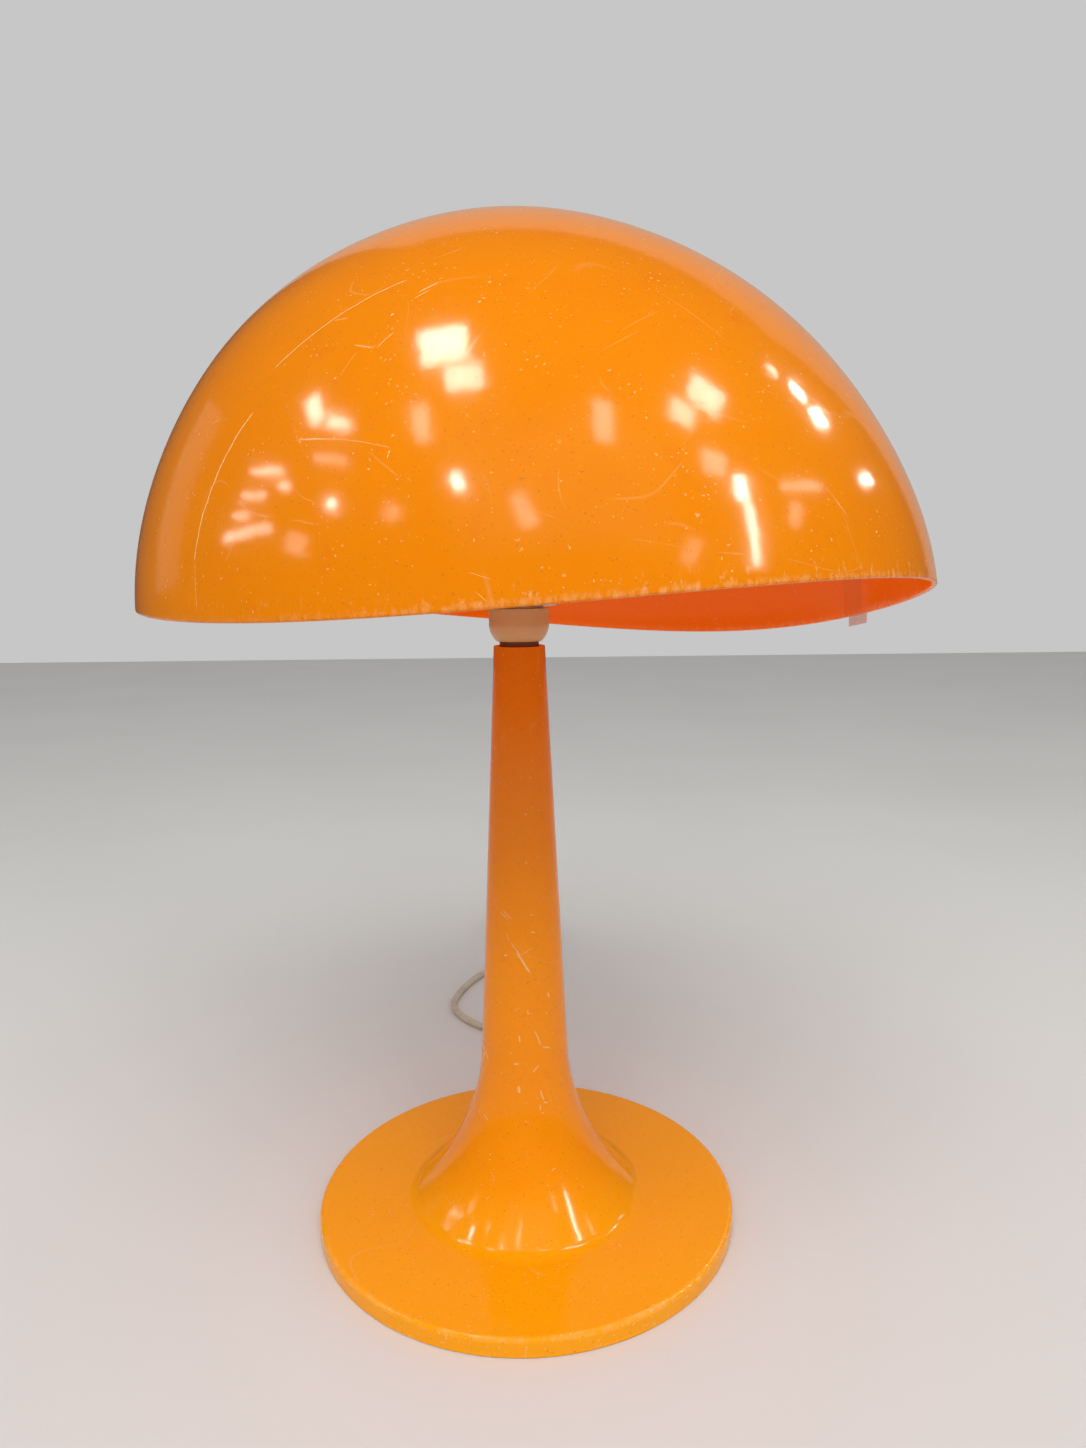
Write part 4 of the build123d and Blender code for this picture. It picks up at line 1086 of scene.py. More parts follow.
    def build(self, orange: bpy.types.Material, steel: bpy.types.Material) -> None:
        """Makes the shade and its screws.

        Args:
            orange: The moulding's finish.
            steel: The screws' finish.
        """
        boss_height = self.boss_level()
        whole = self.with_bosses(self.dome(orange), boss_height)
        add_piece("shade_shell", whole, orange, Body.SHADE, Slot.ORANGE, "shade")
        screws = ScrewSet(
            "carrier_screw_set",
            self.bosses,
            self.boss_circle,
            self.boss_start,
            self.screw_head,
            self.screw_head_height,
            self.screw_shank,
            self.screw_length,
        )
        drop = Matrix.Translation((0, 0, boss_height - self.arm_thickness - self.screw_head_height))
        screws.build(steel, Body.SHADE, self.hub() @ drop, "carrier_screws")

    def boss_level(self) -> float:
        """How far above the hub the bosses' lower faces are.

        Returns:
            The height, found by stepping to where the inner skin is as wide as the circle of bosses.
        """
        climb = math.acos(self.boss_circle / self.radius)
        for _ in range(20):
            inwards = 1 - (
                self.flank_in * math.sin(2 * climb) ** 2
                + self.flank_low * math.sin(4 * climb)
                + self.flank_wave * math.sin(6 * climb)
            ) / self.radius
            climb += ((self.radius * inwards - self.wall) * math.cos(climb) - self.boss_circle) / self.radius
        return (self.height * inwards - self.wall) * math.sin(climb) - self.rim_below_hub - self.boss_length


# ---- Small metal ----------------------------------------------------------------------------------


@dataclass
class ScrewSet:
    """Screws with crossed recesses, round a circle, whose heads face down."""

    name: str
    count: int
    circle: float
    start: float
    head_radius: float
    head_height: float
    shank_radius: float
    shank_length: float
    shank_taper: float = 0.9
    edge_ease: float = 0.3
    recess_length: float = 1.1
    recess_width: float = 0.26
    overlap: float = 0.02 * MM
    sides: int = 32
    sharp_from: float = 35.0

    def build(self, material: bpy.types.Material, body: Body, place: Matrix, node: str) -> None:
        """Makes the set.

        Args:
            material: Its finish.
            body: What it moves with.
            place: Where the heads' outer faces lie.
            node: The solid that it stands for.
        """
        recipe = Recipe(self.name, {
            "Head Radius": self.head_radius, "Head Height": self.head_height,
            "Shank Radius": self.shank_radius, "Shank Length": self.shank_length,
            "Circle": self.circle, "Start": math.radians(self.start),
        })
        size = recipe.size
        head, shank, deep = size("Head Radius"), size("Shank Radius"), size("Head Height")
        ease = deep * self.edge_ease
        solid = self._union(recipe, (
            self._round(recipe, head - ease, head, ease, 0.0),
            self._round(recipe, head, head, deep - ease, ease - self.overlap),
            self._round(recipe, shank, shank * self.shank_taper, size("Shank Length"), deep - self.overlap),
        ))
        long, short = head * self.recess_length, head * self.recess_width
        recess = self._union(recipe, tuple(
            recipe.join("GeometryNodeMeshCube", {}, {"Size": recipe.vector(x, y, deep)})
            for x, y in ((long, short), (short, long))
        ))
        cut = recipe.join(
            "GeometryNodeMeshBoolean", {"operation": "DIFFERENCE", "solver": "EXACT"}, {0: solid, 1: recess}
        )
        points = recipe.spots(self.count, size("Circle"), size("Start"))
        mesh = recipe.bake(recipe.copies(points, cut), material)
        mesh.transform(place)
        mesh.shade_smooth()
        mesh.set_sharp_from_angle(angle=math.radians(self.sharp_from))
        add_piece(self.name, mesh, material, body, Slot.STEEL, node)

    @staticmethod
    def _union(recipe: Recipe, parts: Sequence[bpy.types.NodeSocket]) -> bpy.types.NodeSocket:
        """Several shapes made one.

        Args:
            recipe: The recipe they are in.
            parts: The shapes.

        Returns:
            The one shape.
        """
        whole = recipe.graph.node("GeometryNodeMeshBoolean", {"operation": "UNION", "solver": "EXACT"})
        for part in parts:
            recipe.graph.join(whole.inputs[1], part)
        return whole.outputs[0]

    def _round(
        self, recipe: Recipe, lower: Input, upper: Input, height: Input, base: Input
    ) -> bpy.types.NodeSocket:
        """A round length from one radius to another, standing on a height.

        Args:
            recipe: The recipe it is in.
            lower: Its radius at the foot.
            upper: Its radius at the top.
            height: How tall it is.
            base: The height of its foot.

        Returns:
            The shape.
        """
        cone = recipe.join(
            "GeometryNodeMeshCone", {},
            {"Vertices": self.sides, "Radius Top": upper, "Radius Bottom": lower, "Depth": height},
        )
        lifted = recipe.vector(0.0, 0.0, base)
        return recipe.join("GeometryNodeTransform", {}, {"Geometry": cone, "Translation": lifted})


@dataclass
class Springs:
    """The two coiled springs behind the lampholder's plungers."""

    radius: float = 1.65 * MM
    wire: float = 0.24 * MM
    turns: float = 6.0
    pitch: float = 10.0 * MM
    turn_steps: int = 24
    wire_sides: int = 10

    def build(self, steel: bpy.types.Material) -> None:
        """Makes both springs.

        Args:
            steel: Their finish.
        """
        low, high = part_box("plunger_springs")
        recipe = Recipe("contact_springs", {
            "Radius": self.radius, "Wire": self.wire, "Length": high[2] - low[2] - 2 * self.wire,
            "Turns": self.turns, "Half Pitch": self.pitch / 2,
        })
        size = recipe.size
        coil = recipe.join(
            "GeometryNodeCurveSpiral", {},
            {"Resolution": self.turn_steps, "Rotations": size("Turns"), "Start Radius": size("Radius"),
             "End Radius": size("Radius"), "Height": size("Length")},
        )
        section = recipe.join(
            "GeometryNodeCurvePrimitiveCircle", {}, {"Resolution": self.wire_sides, "Radius": size("Wire")}
        )
        wound = recipe.join(
            "GeometryNodeCurveToMesh", {}, {"Curve": coil, "Profile Curve": section, "Fill Caps": True}
        )
        points = recipe.spots(2, size("Half Pitch"), 0.0)
        mesh = recipe.bake(recipe.copies(points, wound), steel)
        mesh.transform(Matrix.Translation((0, 0, low[2] + self.wire)))
        mesh.shade_smooth()
        add_piece("contact_springs", mesh, steel, Body.LAMP, Slot.STEEL, "plunger_springs")


# ---- Foot -----------------------------------------------------------------------------------------


@dataclass
class Foot:
    """What closes the lamp's underside: the ring of felt and the cover's screws."""

    felt_outer: float = 121.0 * MM
    felt_inner: float = 98.0 * MM
    felt_thickness: float = 0.8 * MM
    fray: float = 0.5 * MM
    felt_columns: int = 361
    felt_rows: int = 33
    side_square: float = 0.3
    face_square: float = 0.5
    screw_count: int = 3
    screw_circle: float = 60.0 * MM
    screw_start: float = 30.0
    screw_head: float = 3.6 * MM
    screw_head_height: float = 2.0 * MM
    screw_shank: float = 1.9 * MM

    def felt(self, material: bpy.types.Material) -> None:
        """Lays the felt, whose cut edges are a little ragged.

        Args:
            material: Its finish.
        """
        recipe = Recipe("felt_round", {
            "Outer": self.felt_outer, "Inner": self.felt_inner, "Thickness": self.felt_thickness,
            "Fray": self.fray,
        })
        graph, size = recipe.graph, recipe.size
        sheet = recipe.join(
            "GeometryNodeMeshGrid",
            {},
            {"Size X": 1.0, "Size Y": 1.0, "Vertices X": self.felt_columns, "Vertices Y": self.felt_rows},
        )
        u, v, _ = graph.parts(recipe.join("GeometryNodeInputPosition", {}, {}))
        angle, bend = u * math.tau, v * math.tau
        across = bend.cosine().sign() * abs(bend.cosine()) ** self.side_square
        up = bend.sine().sign() * abs(bend.sine()) ** self.face_square
        ragged = graph.noise(recipe.vector(angle.cosine(), angle.sine(), across * 3.0), 38.0, 3.0, 0.7)
        middle, half = (size("Outer") + size("Inner")) / 2, (size("Outer") - size("Inner")) / 2
        radius = middle + across * (half + (ragged - 0.5) * size("Fray"))
        place = recipe.vector(
            radius * angle.cosine(), radius * angle.sine(), (up + 1.0) * size("Thickness") / 2
        )
        moved = recipe.join("GeometryNodeSetPosition", {}, {"Geometry": sheet, "Position": place})
        closed = recipe.join("GeometryNodeMergeByDistance", {}, {"Geometry": moved, "Distance": 1e-6})
        mesh = recipe.bake(closed, material)
        mesh.shade_smooth()
        add_piece("felt_round", mesh, material, Body.LAMP, Slot.FELT, "felt_ring")

    def build(self, felt: bpy.types.Material, steel: bpy.types.Material) -> None:
        """Makes both.

        Args:
            felt: The felt's finish.
            steel: The screws' finish.
        """
        self.felt(felt)
        low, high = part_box("cover_screws")
        screws = ScrewSet(
            "cover_screw_set",
            self.screw_count,
            self.screw_circle,
            self.screw_start,
            self.screw_head,
            self.screw_head_height,
            self.screw_shank,
            high[2] - low[2] - self.screw_head_height,
        )
        screws.build(steel, Body.LAMP, Matrix.Translation((0, 0, low[2])), "cover_screws")


# ---- Cord -----------------------------------------------------------------------------------------


@dataclass
class CordSet:
    """The free cord, its put-away hank, and the switch and the plug that they carry.

    Its sizes are in millimetres, apart from the cord's diameter.
    """

    diameter: float = 5.5 * MM
    lying: float = 2.8
    exit_height: float = 4.7
    tail_end: float = 151.5
    switch_x: float = 14.65
    switch_axis: float = 7.0
    switch_near: float = 440.0
    switch_length: float = 54.0
    hank_x: float = -11.0
    hank_near: float = 535.0
    hank_run: float = 108.0
    pitch: float = 6.1
    inner_turn: float = 16.5
    waist: float = 5.0
    lower: float = 3.25
    upper: float = 9.25
    plug_tail: float = 513.0
    screw_spread: float = 18.5
    screw_head: float = 2.4
    screw_head_height: float = 1.5
    screw_shank: float = 1.35
    turn_corners: int = 4
    climbing_run: int = 4

    def lead_route(self) -> list[Point]:
        """The free cord's route, in millimetres, from the strain relief to the switch.

        Returns:
            The points that the cord's curve goes by.
        """
        low = self.lying
        return [
            (0, self.tail_end, self.exit_height),
            (0, self.tail_end + 18, self.exit_height),
            (-8, 202, low),
            (-27, 231, low),
            (-58, 256, low),
            (-75, 288, low),
            (-66, 327, low),
            (-49, 364, low),
            (-22, 386, low),
            (4, 399, low + 1.4),
            (self.switch_x, 421, self.switch_axis),
            (self.switch_x, self.switch_near, self.switch_axis),
        ]

    def _run(self, x: float, going: int, level: float, end_level: float) -> list[Point]:
        """The route's points along one run of the hank, drawn in at the waist.

        Args:
            x: The run's distance from the hank's middle.
            going: 1 away from the foot, -1 towards it.
            level: The height at the start of the run.
            end_level: The height at its end.

        Returns:
            The points.
        """
        inward = -self.waist if x > 0 else self.waist
        start = self.hank_near if going > 0 else self.hank_near + self.hank_run
        points = []
        for share, shift in ((0.125, 0.0), (0.375, 1.0), (0.625, 1.0), (0.875, 0.0)):
            rise = level + (end_level - level) * (0.5 - 0.5 * math.cos(math.pi * share))
            points.append((self.hank_x + x + inward * shift, start + going * self.hank_run * share, rise))
        return points

    def _turn(self, centre: float, going: int, radius: float, level: float) -> list[Point]:
        """The route's points round one half turn of the hank: the corners that go round its arc.

        Args:
            centre: The arc's distance from the hank's middle.
            going: 1 at the far end, -1 at the near end.
            radius: The arc's radius.
            level: Its height.

        Returns:
            The points.
        """
        near = self.hank_near + self.hank_run if going > 0 else self.hank_near
        count = self.turn_corners
        reach = radius / math.cos(math.pi / 2 / count)
        return [
            (
                self.hank_x + centre + going * reach * math.cos(math.pi * (corner + 0.5) / count),
                near + going * reach * math.sin(math.pi * (corner + 0.5) / count),
                level,
            )
            for corner in range(count)
        ]

    def hank_route(self) -> list[Point]:
        """The hank's route, in millimetres: it spirals in below, climbs along a run and spirals out.

        Returns:
            The route's points from the switch to the plug.
        """
        step = self.pitch / 2
        turns = [self.inner_turn + step * place for place in range(4)]
        start = self.switch_near + self.switch_length
        route: list[Point] = [
            (self.switch_x, start, self.switch_axis),
            (self.switch_x, start + 10, self.switch_axis),
            (self.switch_x, start + 28, self.lower),
        ]
        outer, inner = turns[3], turns[1]
        runs = [outer, -outer, inner, -inner, inner - self.pitch, -inner, inner, -outer]
        halves = [(0, turns[3]), (-step, turns[2]), (0, turns[1]), (-step, turns[0])]
        halves += [(-step, turns[0]), (0, turns[1]), (-step, turns[2])]
        for place, x in enumerate(runs):
            going = 1 if place % 2 == 0 else -1
            level = self.lower if place <= self.climbing_run else self.upper
            end_level = self.lower if place < self.climbing_run else self.upper
            route += self._run(x, going, level, end_level)
            if place < len(halves):
                centre, radius = halves[place]
                route += self._turn(centre, going, radius, end_level)
        plug_x = self.hank_x - turns[3]
        route += [(plug_x, self.hank_near - 8, self.upper), (plug_x, self.plug_tail, self.upper)]
        return route

    def screws(self, steel: bpy.types.Material) -> None:
        """Puts the two screws in the switch's underside.

        Args:
            steel: Their finish.
        """
        low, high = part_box("switch_screws")
        screws = ScrewSet(
            "switch_screw_set",
            2,
            self.screw_spread * MM,
            90.0,
            self.screw_head * MM,
            self.screw_head_height * MM,
            self.screw_shank * MM,
            high[2] - low[2] - self.screw_head_height * MM,
        )
        middle = Matrix.Translation(((low[0] + high[0]) / 2, (low[1] + high[1]) / 2, low[2]))
        screws.build(steel, Body.LAMP, middle, "switch_screws")

    def build(self, sheath: bpy.types.Material, steel: bpy.types.Material) -> None:
        """Lays the cord and its hank, and closes the switch.

        Args:
            sheath: The cord's finish.
            steel: The screws' finish.
        """
        self.screws(steel)
        lead = add_piece(
            "cord_lying", smooth_line("cord_lying", self.lead_route(), self.diameter), sheath,
            Body.LAMP, Slot.SHEATH, "cord_lead",
        )
        hank = add_piece(
            "cord_put_away", smooth_line("cord_put_away", self.hank_route(), self.diameter), sheath,
            Body.LAMP, Slot.SHEATH, "cord_hank",
        )


@dataclass
class Tie:
    """The strap round the hank: it lies on itself and its free end is rounded.

    Its sizes are in millimetres.
    """

    centre_x: float = -11.0
    middle_y: float = 589.0
    corners: tuple[tuple[float, float], ...] = ((-20.65, 3.25), (20.65, 3.25), (14.55, 9.25), (-20.65, 9.25))
    inside: float = 2.8
    thickness: float = 0.4
    width: float = 7.0
    overlap: float = 20.0
    lap_inset: float = 4.0
    lap_steps: int = 26
    lap_gap: float = 0.02
    lap_lift: float = 0.35
    lifts_from: float = 0.8
    rounds_from: float = 0.86
    tip_share: float = 0.05
    sharp_from: float = 50.0

    def outline(self, reach: float, step: float = 0.6) -> list[tuple[float, float]]:
        """The places round the runs at a reach from their middles, from the lower left corner on.

        Args:
            reach: How far out they lie, in millimetres.
            step: How far apart they may be on a bend.

        Returns:
            The places across and up, in order.
        """
        places: list[tuple[float, float]] = []
        count = len(self.corners)
        for place, corner in enumerate(self.corners):
            before, after = self.corners[place - 1], self.corners[(place + 1) % count]
            into = math.atan2(corner[1] - before[1], corner[0] - before[0]) - math.pi / 2
            away = math.atan2(after[1] - corner[1], after[0] - corner[0]) - math.pi / 2
            while away < into:
                away += math.tau
            turns = max(2, round((away - into) * reach / step))
            for turn in range(turns + 1):
                bend = into + (away - into) * turn / turns
                places.append((corner[0] + reach * math.cos(bend), corner[1] + reach * math.sin(bend)))
            length = math.dist(corner, after)
            spans = max(2, round(length / (4 * step)))
            for span in range(1, spans):
                share = span / spans
                places.append((
                    corner[0] + (after[0] - corner[0]) * share + reach * math.cos(away),
                    corner[1] + (after[1] - corner[1]) * share + reach * math.sin(away),
                ))
        return places

    def strip(
        self,
        build: bmesh.types.BMesh,
        inner: Sequence[tuple[float, float]],
        outer: Sequence[tuple[float, float]],
        half: Sequence[float],
        closed: bool,
    ) -> None:
        """Adds a band between two lines of places.

        Args:
            build: The mesh under construction.
            inner: The places of its inner face.
            outer: Those of its outer face.
            half: Half its width at each place.
            closed: Whether it joins up.
        """
        ease = self.thickness * 0.3
        sections = []
        for (x0, z0), (x1, z1), reach in zip(inner, outer, half):
            row = []
            for share, side in ((0, -1), (0.3, -1), (0.7, -1), (1, -1), (1, 1), (0.7, 1), (0.3, 1), (0, 1)):
                y = side * (reach - (ease if share in (0, 1) else 0))
                row.append(build.verts.new((
                    (self.centre_x + x0 + (x1 - x0) * share) * MM,
                    (self.middle_y + y) * MM,
                    (z0 + (z1 - z0) * share) * MM,
                )))
            sections.append(row)
        pairs = list(zip(sections, sections[1:]))
        if closed:
            pairs.append((sections[-1], sections[0]))
        for one, other in pairs:
            for corner in range(8):
                after = (corner + 1) % 8
                build.faces.new((one[corner], one[after], other[after], other[corner]))
        if not closed:
            build.faces.new(sections[0])
            build.faces.new(list(reversed(sections[-1])))

    def build(self, webbing: bpy.types.Material) -> None:
        """Makes the strap.

        Args:
            webbing: Its finish.
        """
        build = bmesh.new()
        inner, outer = self.outline(self.inside), self.outline(self.inside + self.thickness)
        self.strip(build, inner, outer, [self.width / 2] * len(inner), True)
        lap_inner, lap_outer, half = [], [], []
        right, level = self.corners[2]
        top = level + self.inside + self.thickness
        for place in range(self.lap_steps + 1):
            share = place / self.lap_steps
            x = right - self.lap_inset - self.overlap * share
            lift = self.lap_gap + self.lap_lift * max(0.0, share - self.lifts_from) / (1 - self.lifts_from)
            lap_inner.append((x, top + lift))
            lap_outer.append((x, top + lift + self.thickness))
            rounded = max(0.0, (share - self.rounds_from) / (1 - self.rounds_from))
            half.append(self.width / 2 * math.sqrt(max(self.tip_share, 1 - rounded**2)))
        self.strip(build, lap_inner, lap_outer, half, False)
        mesh = finish_mesh(build, "hank_strap")
        mesh.set_sharp_from_angle(angle=math.radians(self.sharp_from))
        add_piece("hank_strap", mesh, webbing, Body.LAMP, Slot.STRAP, "hank_tie")


# ---- Studio ---------------------------------------------------------------------------------------


@dataclass(frozen=True)
class Panel:
    """A soft light that the dome mirrors: its middle and its two sides, in metres, and how bright it is."""

    name: str
    middle: Point
    across: Point
    down: Point
    radiance: float


PANELS = (
    Panel("high_near", (-0.803, -0.268, 2.948), (0.405, -0.063, 0.119), (0.052, -0.425, -0.015), 20.0),
    Panel("high_next", (-0.703, -0.689, 2.920), (0.330, -0.038, 0.085), (0.080, -0.279, -0.043), 19.0),
    Panel("left_pane", (-1.881, -0.080, 2.324), (0.099, -0.030, 0.101), (0.052, -0.315, 0.051), 17.0),
    Panel("left_pane_next", (-1.790, -0.418, 2.382), (0.119, -0.252, 0.064), (-0.089, -0.030, -0.082), 17.0),
    Panel("front_left_pane", (-1.167, -0.974, 2.649), (0.153, -0.037, 0.064), (0.154, -0.401, -0.077), 8.0),
    Panel("right_pane", (1.418, -0.258, 2.680), (0.262, -0.014, -0.162), (-0.114, -0.340, 0.046), 15.0),
    Panel("right_pane_next", (1.263, -0.646, 2.715), (0.202, -0.017, -0.111), (-0.081, -0.259, -0.017), 14.0),
    Panel("front_right_pane", (0.559, -1.125, 2.816), (0.175, 0.020, -0.029), (-0.099, -0.423, -0.156), 8.0),
    Panel("right_low_pane", (1.586, -0.943, 2.411), (0.214, 0.084, -0.125), (-0.138, -0.301, -0.020), 8.0),
    Panel("streak_top", (1.854, -0.964, 2.173), (0.092, 0.070, -0.061), (0.095, -0.172, -0.177), 60.0),
    Panel("streak", (2.031, -1.254, 1.736), (0.067, 0.081, -0.033), (0.205, -0.418, -0.645), 36.0),
    Panel("far_right_first", (1.687, 0.782, 2.318), (0.047, 0.035, -0.056), (0.081, -0.039, -0.052), 14.0),
    Panel("far_right_second", (1.832, 0.855, 2.143), (-0.004, 0.099, -0.049), (0.095, -0.069, -0.062), 30.0),
    Panel("far_right_third", (1.976, 0.833, 1.990), (-0.017, 0.191, -0.090), (0.093, -0.131, -0.039), 32.0),
    Panel("far_right_low", (2.236, 0.939, 1.517), (-0.071, 0.240, -0.086), (0.045, -0.034, -0.047), 20.0),
    Panel("right_bar", (2.211, -0.229, 1.937), (0.175, 0.554, -0.204), (0.042, -0.065, -0.059), 6.0),
    Panel("right_post", (2.279, -0.591, 1.787), (0.072, 0.062, -0.084), (0.126, -0.174, -0.255), 5.0),
    Panel("right_faint", (1.497, -1.933, 1.720), (0.156, 0.063, -0.085), (0.079, -0.195, -0.349), 4.0),
    Panel("front_spot", (-0.957, -1.644, 2.383), (0.116, -0.015, 0.043), (0.027, -0.169, -0.116), 52.0),
    Panel("left_spot", (-2.068, -0.974, 1.890), (0.056, -0.073, 0.035), (-0.011, -0.082, -0.062), 52.0),
    Panel("left_bar", (-1.946, -0.641, 2.171), (0.197, -0.351, 0.106), (-0.017, -0.028, -0.027), 12.0),
    Panel("row_top", (-2.278, -0.048, 1.829), (0.093, -0.418, 0.157), (-0.017, -0.030, -0.022), 18.0),
    Panel("row_next", (-2.402, -0.023, 1.620), (0.051, -0.331, 0.115), (-0.014, -0.028, -0.026), 14.0),
    Panel("row_side", (-2.273, -0.355, 1.829), (0.043, -0.120, 0.046), (-0.014, -0.062, -0.033), 18.0),
    Panel("row_low", (-2.488, 0.038, 1.437), (0.024, -0.259, 0.087), (-0.012, -0.029, -0.023), 11.0),
    Panel("row_foot", (-2.508, -0.132, 1.341), (0.124, -0.634, 0.297), (-0.019, -0.052, -0.051), 10.0),
    Panel("row_faint", (-2.364, -0.826, 1.438), (0.100, -0.272, 0.019), (0.097, -0.527, -0.156), 4.0),
    Panel("front_left_faint", (-1.619, -1.534, 2.000), (0.118, -0.122, 0.012), (0.017, -0.177, -0.138), 6.0),
    Panel("front_faint", (-0.317, -2.043, 2.231), (0.166, 0.018, 0.051), (0.088, -0.285, -0.279), 7.0),
    Panel("pale_behind", (0.45, 1.3, 1.25), (2.1, 0.0, 0.0), (0.0, 0.0, -1.9), 0.2),
    Panel("pale_left_rear", (-1.85, 1.03, 1.0), (-0.20, -0.45, 0.15), (-0.40, -0.24, -0.90), 0.16),
)


@dataclass(frozen=True)
class Fill:
    """A broad light that gives shape and no highlight: where it hangs, what it faces, its size and watts."""

    name: str
    place: Point
    aim: Point
    size: tuple[float, float]
    power: float


FILLS = (
    Fill("fill_front", (0.1, -1.95, 2.7), (0.0, 0.0, 0.2), (2.8, 1.8), 64.0),
    Fill("fill_low", (0.2, -3.0, 0.7), (0.0, 0.0, 0.2), (3.0, 1.0), 4.0),
)


@dataclass
class Studio:
    """The floor, the lights and the camera."""

    eye: Point = (0.0134, -0.5857, 0.4)
    pitch: float = 8.8
    roll: float = -0.6
    lens: float = 24.86
    sensor: float = 36.0
    nearest: float = 0.01
    floor_reach: float = 4.0
    floor_tones: tuple[Colour, Colour] = ((0.70, 0.69, 0.67), (0.74, 0.73, 0.71))
    heart: Point = (0.0, 0.0, 0.4)
    sky: float = 0.57
    mirrored: float = 0.06
    gloss: float = 1.8
    daylight: Colour = (1.0, 0.95, 0.82)

    def camera(self) -> None:
        """Sets the camera where the photograph was taken from."""
        pitch, roll = math.radians(self.pitch), math.radians(self.roll)
        right = Vector((1, 0, 0))
        ahead = Vector((0, math.cos(pitch), -math.sin(pitch)))
        down = Vector((0, -math.sin(pitch), -math.cos(pitch)))
        across = math.cos(roll) * right - math.sin(roll) * down
        under = math.sin(roll) * right + math.cos(roll) * down
        data = bpy.data.cameras.new("camera")
        data.lens = self.lens
        data.sensor_width = self.sensor
        data.clip_start = self.nearest
        camera = bpy.data.objects.new("camera", data)
        bpy.context.scene.collection.objects.link(camera)
        axes = Matrix((across, -under, -ahead)).transposed()
        camera.matrix_world = Matrix.Translation(self.eye) @ axes.to_4x4()
        bpy.context.scene.camera = camera

    def floor(self) -> None:
        """Lays the pale floor."""
        material, graph, shader = new_material("floor_paint")
        place = graph.position()
        tone = graph.noise(place, 3.0, 3.0)
        graph.join(shader.inputs["Base Color"], graph.blend(tone, *self.floor_tones))
        graph.join(shader.inputs["Roughness"], tone * 0.1 + 0.5)
        build = bmesh.new()
        for x, y in ((-1, -1), (1, -1), (1, 1), (-1, 1)):
            build.verts.new((x * self.floor_reach, y * self.floor_reach, 0))
        build.faces.new(build.verts)
        mesh = finish_mesh(build, "floor")
        mesh.materials.append(material)
        plane = bpy.data.objects.new("floor", mesh)
        bpy.context.scene.collection.objects.link(plane)

    def light(self, panel: Panel) -> None:
        """Hangs one soft light, which shows in gloss only.

        Args:
            panel: Its place, sides and strength.
        """
        across, down = Vector(panel.across), Vector(panel.down)
        side = across.normalized()
        ahead = side.cross(down).normalized()
        if ahead.dot(Vector(self.heart) - Vector(panel.middle)) < 0:
            ahead.negate()
        data = bpy.data.lights.new(panel.name, "AREA")
        data.shape = "RECTANGLE"
        data.size, data.size_y = across.length, (down - side * down.dot(side)).length
        data.color = self.daylight
        data.energy = self.gloss * panel.radiance * math.pi * data.size * data.size_y
        lamp = bpy.data.objects.new(panel.name, data)
        axes = Matrix((side, side.cross(ahead), -ahead)).transposed()
        lamp.matrix_world = Matrix.Translation(panel.middle) @ axes.to_4x4()
        lamp.visible_diffuse = False
        lamp.visible_camera = False
        bpy.context.scene.collection.objects.link(lamp)

    @staticmethod
    def fill(wanted: Fill) -> None:
        """Hangs one broad light.

        Args:
            wanted: Its place, aim, size and strength.
        """
        data = bpy.data.lights.new(wanted.name, "AREA")
        data.shape = "RECTANGLE"
        data.size, data.size_y = wanted.size
        data.energy = wanted.power
        lamp = bpy.data.objects.new(wanted.name, data)
        lamp.location = wanted.place
        facing = Vector(wanted.aim) - Vector(wanted.place)
        lamp.rotation_euler = facing.to_track_quat("-Z", "Y").to_euler()
        lamp.visible_glossy = False
        bpy.context.scene.collection.objects.link(lamp)

    def build(self) -> None:
        """Sets up the whole studio."""
        self.camera()
        self.floor()
        for panel in PANELS:
            self.light(panel)
        for wanted in FILLS:
            self.fill(wanted)
        world = bpy.data.worlds.new("studio")
        bpy.context.scene.world = world
        world.use_nodes = True
        graph = Graph(world.node_tree)
        backdrop = world.node_tree.nodes["Background"]
        graph.join(backdrop.inputs["Color"], (1.0, 1.0, 1.0))
        rays = graph.node("ShaderNodeLightPath")
        dim = graph.value(
            "ShaderNodeMapRange",
            {},
            {"Value": rays.outputs["Is Glossy Ray"], "To Min": self.sky, "To Max": self.mirrored},
        )
        graph.join(backdrop.inputs["Strength"], dim)
        bpy.context.scene.view_settings.view_transform = "Standard"


# ---- The lamp -------------------------------------------------------------------------------------


def finish(kind: type, *settings: Any, **more: Any) -> Any:
    """A dataclass field that makes its finish's material when the class is called.

    Args:
        kind: The finish's class.
        settings: What it is given, its name first.
        more: What it is given by name.

    Returns:
        The field.
    """
    return field(default_factory=lambda: kind(*settings, **more).build())


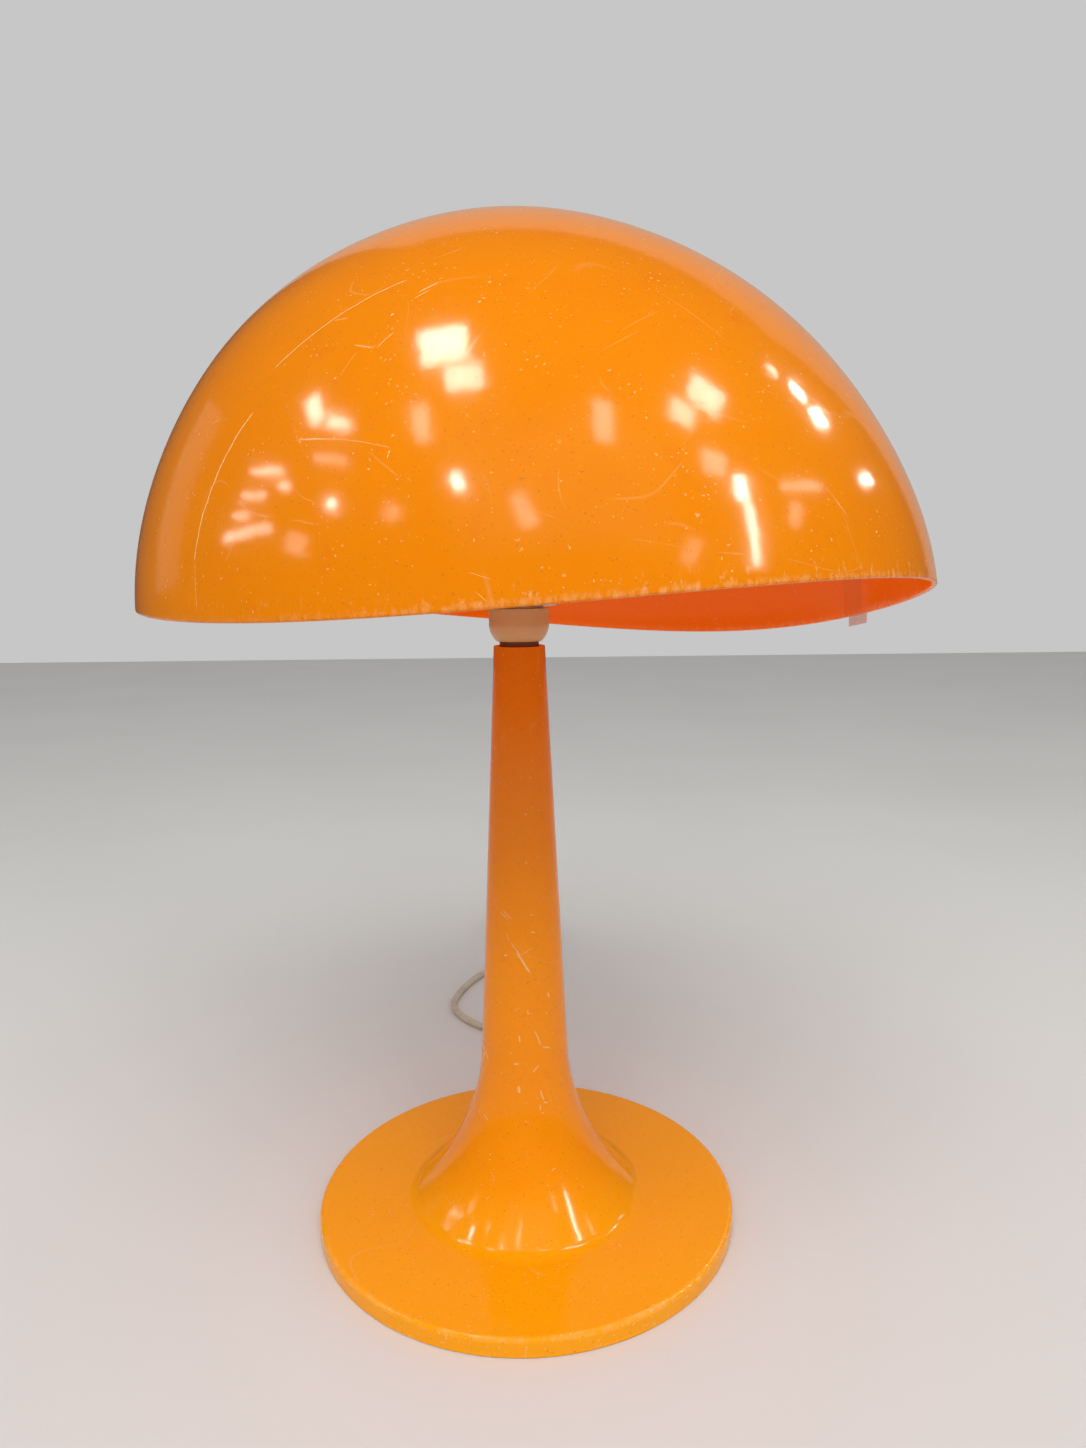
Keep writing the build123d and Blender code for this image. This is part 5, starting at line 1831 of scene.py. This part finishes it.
@dataclass
class Finishes:
    """Every finish that the lamp wears."""

    # The dome's orange is painted darker than the foot's: painted shade for the stronger light on the dome,
    # as both are one plastic.
    shade: bpy.types.Material = finish(
        OrangeFinish,
        "orange_dome",
        fresh=(0.79, 0.214, 0.001),
        faded=(0.83, 0.236, 0.002),
        deep=(0.76, 0.165, 0.001),
        scratches=DOME_SCRATCHES,
        rim=True,
    )
    foot: bpy.types.Material = finish(
        OrangeFinish, "orange_foot", scratches=STEM_SCRATCHES, lip=(129.0 * MM, 11.0 * MM)
    )
    # The bush's dark brown is partly painted shade, for the shade it sits in under the lampholder.
    neck: bpy.types.Material = finish(PlainFinish, "neck_plastic", (0.20, 0.055, 0.01), 0.5)
    # Painted light and shade: the cream plastic is painted tan-orange for the orange light the shade throws
    # on it and the shade it sits in.
    cream: bpy.types.Material = finish(
        PlainFinish, "cream_plastic", (0.62, 0.33, 0.12), 0.3, coat=0.15, spread=0.06
    )
    ivory: bpy.types.Material = finish(
        PlainFinish, "ivory_plastic", (0.60, 0.50, 0.36), 0.3, coat=0.2, spread=0.06
    )
    iron: bpy.types.Material = finish(CastFinish, "cast_iron")
    board: bpy.types.Material = finish(
        FibreFinish, "cover_board", (0.10, 0.065, 0.04), (0.21, 0.145, 0.09), 500.0, 0.0001, 0.8
    )
    felt: bpy.types.Material = finish(
        FibreFinish, "felt", (0.016, 0.040, 0.022), (0.055, 0.11, 0.065), 1100.0, 0.0004
    )
    webbing: bpy.types.Material = finish(
        FibreFinish, "tie_strap", (0.012, 0.012, 0.013), (0.05, 0.05, 0.052), 2600.0, 0.0001, 0.75
    )
    steel: bpy.types.Material = finish(MetalFinish, "plated_steel", (0.66, 0.66, 0.64), (0.40, 0.37, 0.32))
    brass: bpy.types.Material = finish(MetalFinish, "brass", (0.78, 0.56, 0.24), (0.42, 0.26, 0.10), 0.3)
    aluminium: bpy.types.Material = finish(
        MetalFinish, "bulb_aluminium", (0.80, 0.80, 0.80), (0.55, 0.54, 0.52), 0.32
    )
    insulation: bpy.types.Material = finish(
        PlainFinish, "bulb_insulation", (0.015, 0.013, 0.012), 0.25, coat=0.4
    )
    pearl: bpy.types.Material = finish(
        PlainFinish, "pearl_glass", (0.86, 0.85, 0.82), 0.28, coat=0.6, spread=0.03, relief=0.00001
    )
    tape: bpy.types.Material = finish(
        PlainFinish, "clear_tape", (0.80, 0.62, 0.52), 0.35, opacity=0.55, spread=0.08
    )
    rubber: bpy.types.Material = finish(
        PlainFinish, "grommet_rubber", (0.50, 0.42, 0.31), 0.55, relief=0.00008
    )
    sheath: bpy.types.Material = finish(SheathFinish, "cord_sheath")
    rocker: bpy.types.Material = finish(PlainFinish, "rocker_plastic", (0.55, 0.44, 0.31), 0.35, coat=0.2)

    def dress_solids(self) -> None:
        """Dresses the solids whose shape is right as it stands."""
        dress(self.foot, "pedestal")
        dress(self.neck, "stem_bush")
        dress(self.cream, "holder_cup", "holder_barrel", "shade_ring", "holder_core")
        dress(self.ivory, "plug_body", "switch_base", "switch_cover")
        dress(self.iron, "weight")
        dress(self.board, "base_cover")
        dress(self.steel, "threaded_tube", "tube_washer", "tube_nuts", "shade_carrier", "terminal_screws")
        dress(self.brass, "contact_plungers", "plug_pins", "bulb_contacts")
        dress(self.aluminium, "bulb_cap")
        dress(self.insulation, "bulb_insulator")
        dress(self.pearl, "bulb_glass")
        dress(self.tape, "rim_tab")
        dress(self.rubber, "cord_grommet")
        dress(self.sheath, "inner_cord", "cord_stop")
        dress(self.rocker, "switch_rocker")


def clear_start_up() -> None:
    """Takes out what Blender starts with."""
    kept = set(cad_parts.values())
    for stray in [o for o in bpy.data.objects if o.type in {"MESH", "LIGHT", "CAMERA"} and o not in kept]:
        bpy.data.objects.remove(stray)


def main() -> None:
    """Builds the lamp and its studio."""
    logging.basicConfig(level=logging.INFO, format="%(name)s: %(message)s")
    clear_start_up()
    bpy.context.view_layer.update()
    finishes = Finishes()
    Studio().build()
    Tie().build(finishes.webbing)
    Shade().build(finishes.shade, finishes.steel)
    Foot().build(finishes.felt, finishes.steel)
    Springs().build(finishes.steel)
    finishes.dress_solids()
    CordSet().build(finishes.sheath, finishes.steel)


if __name__ == "__main__":
    main()
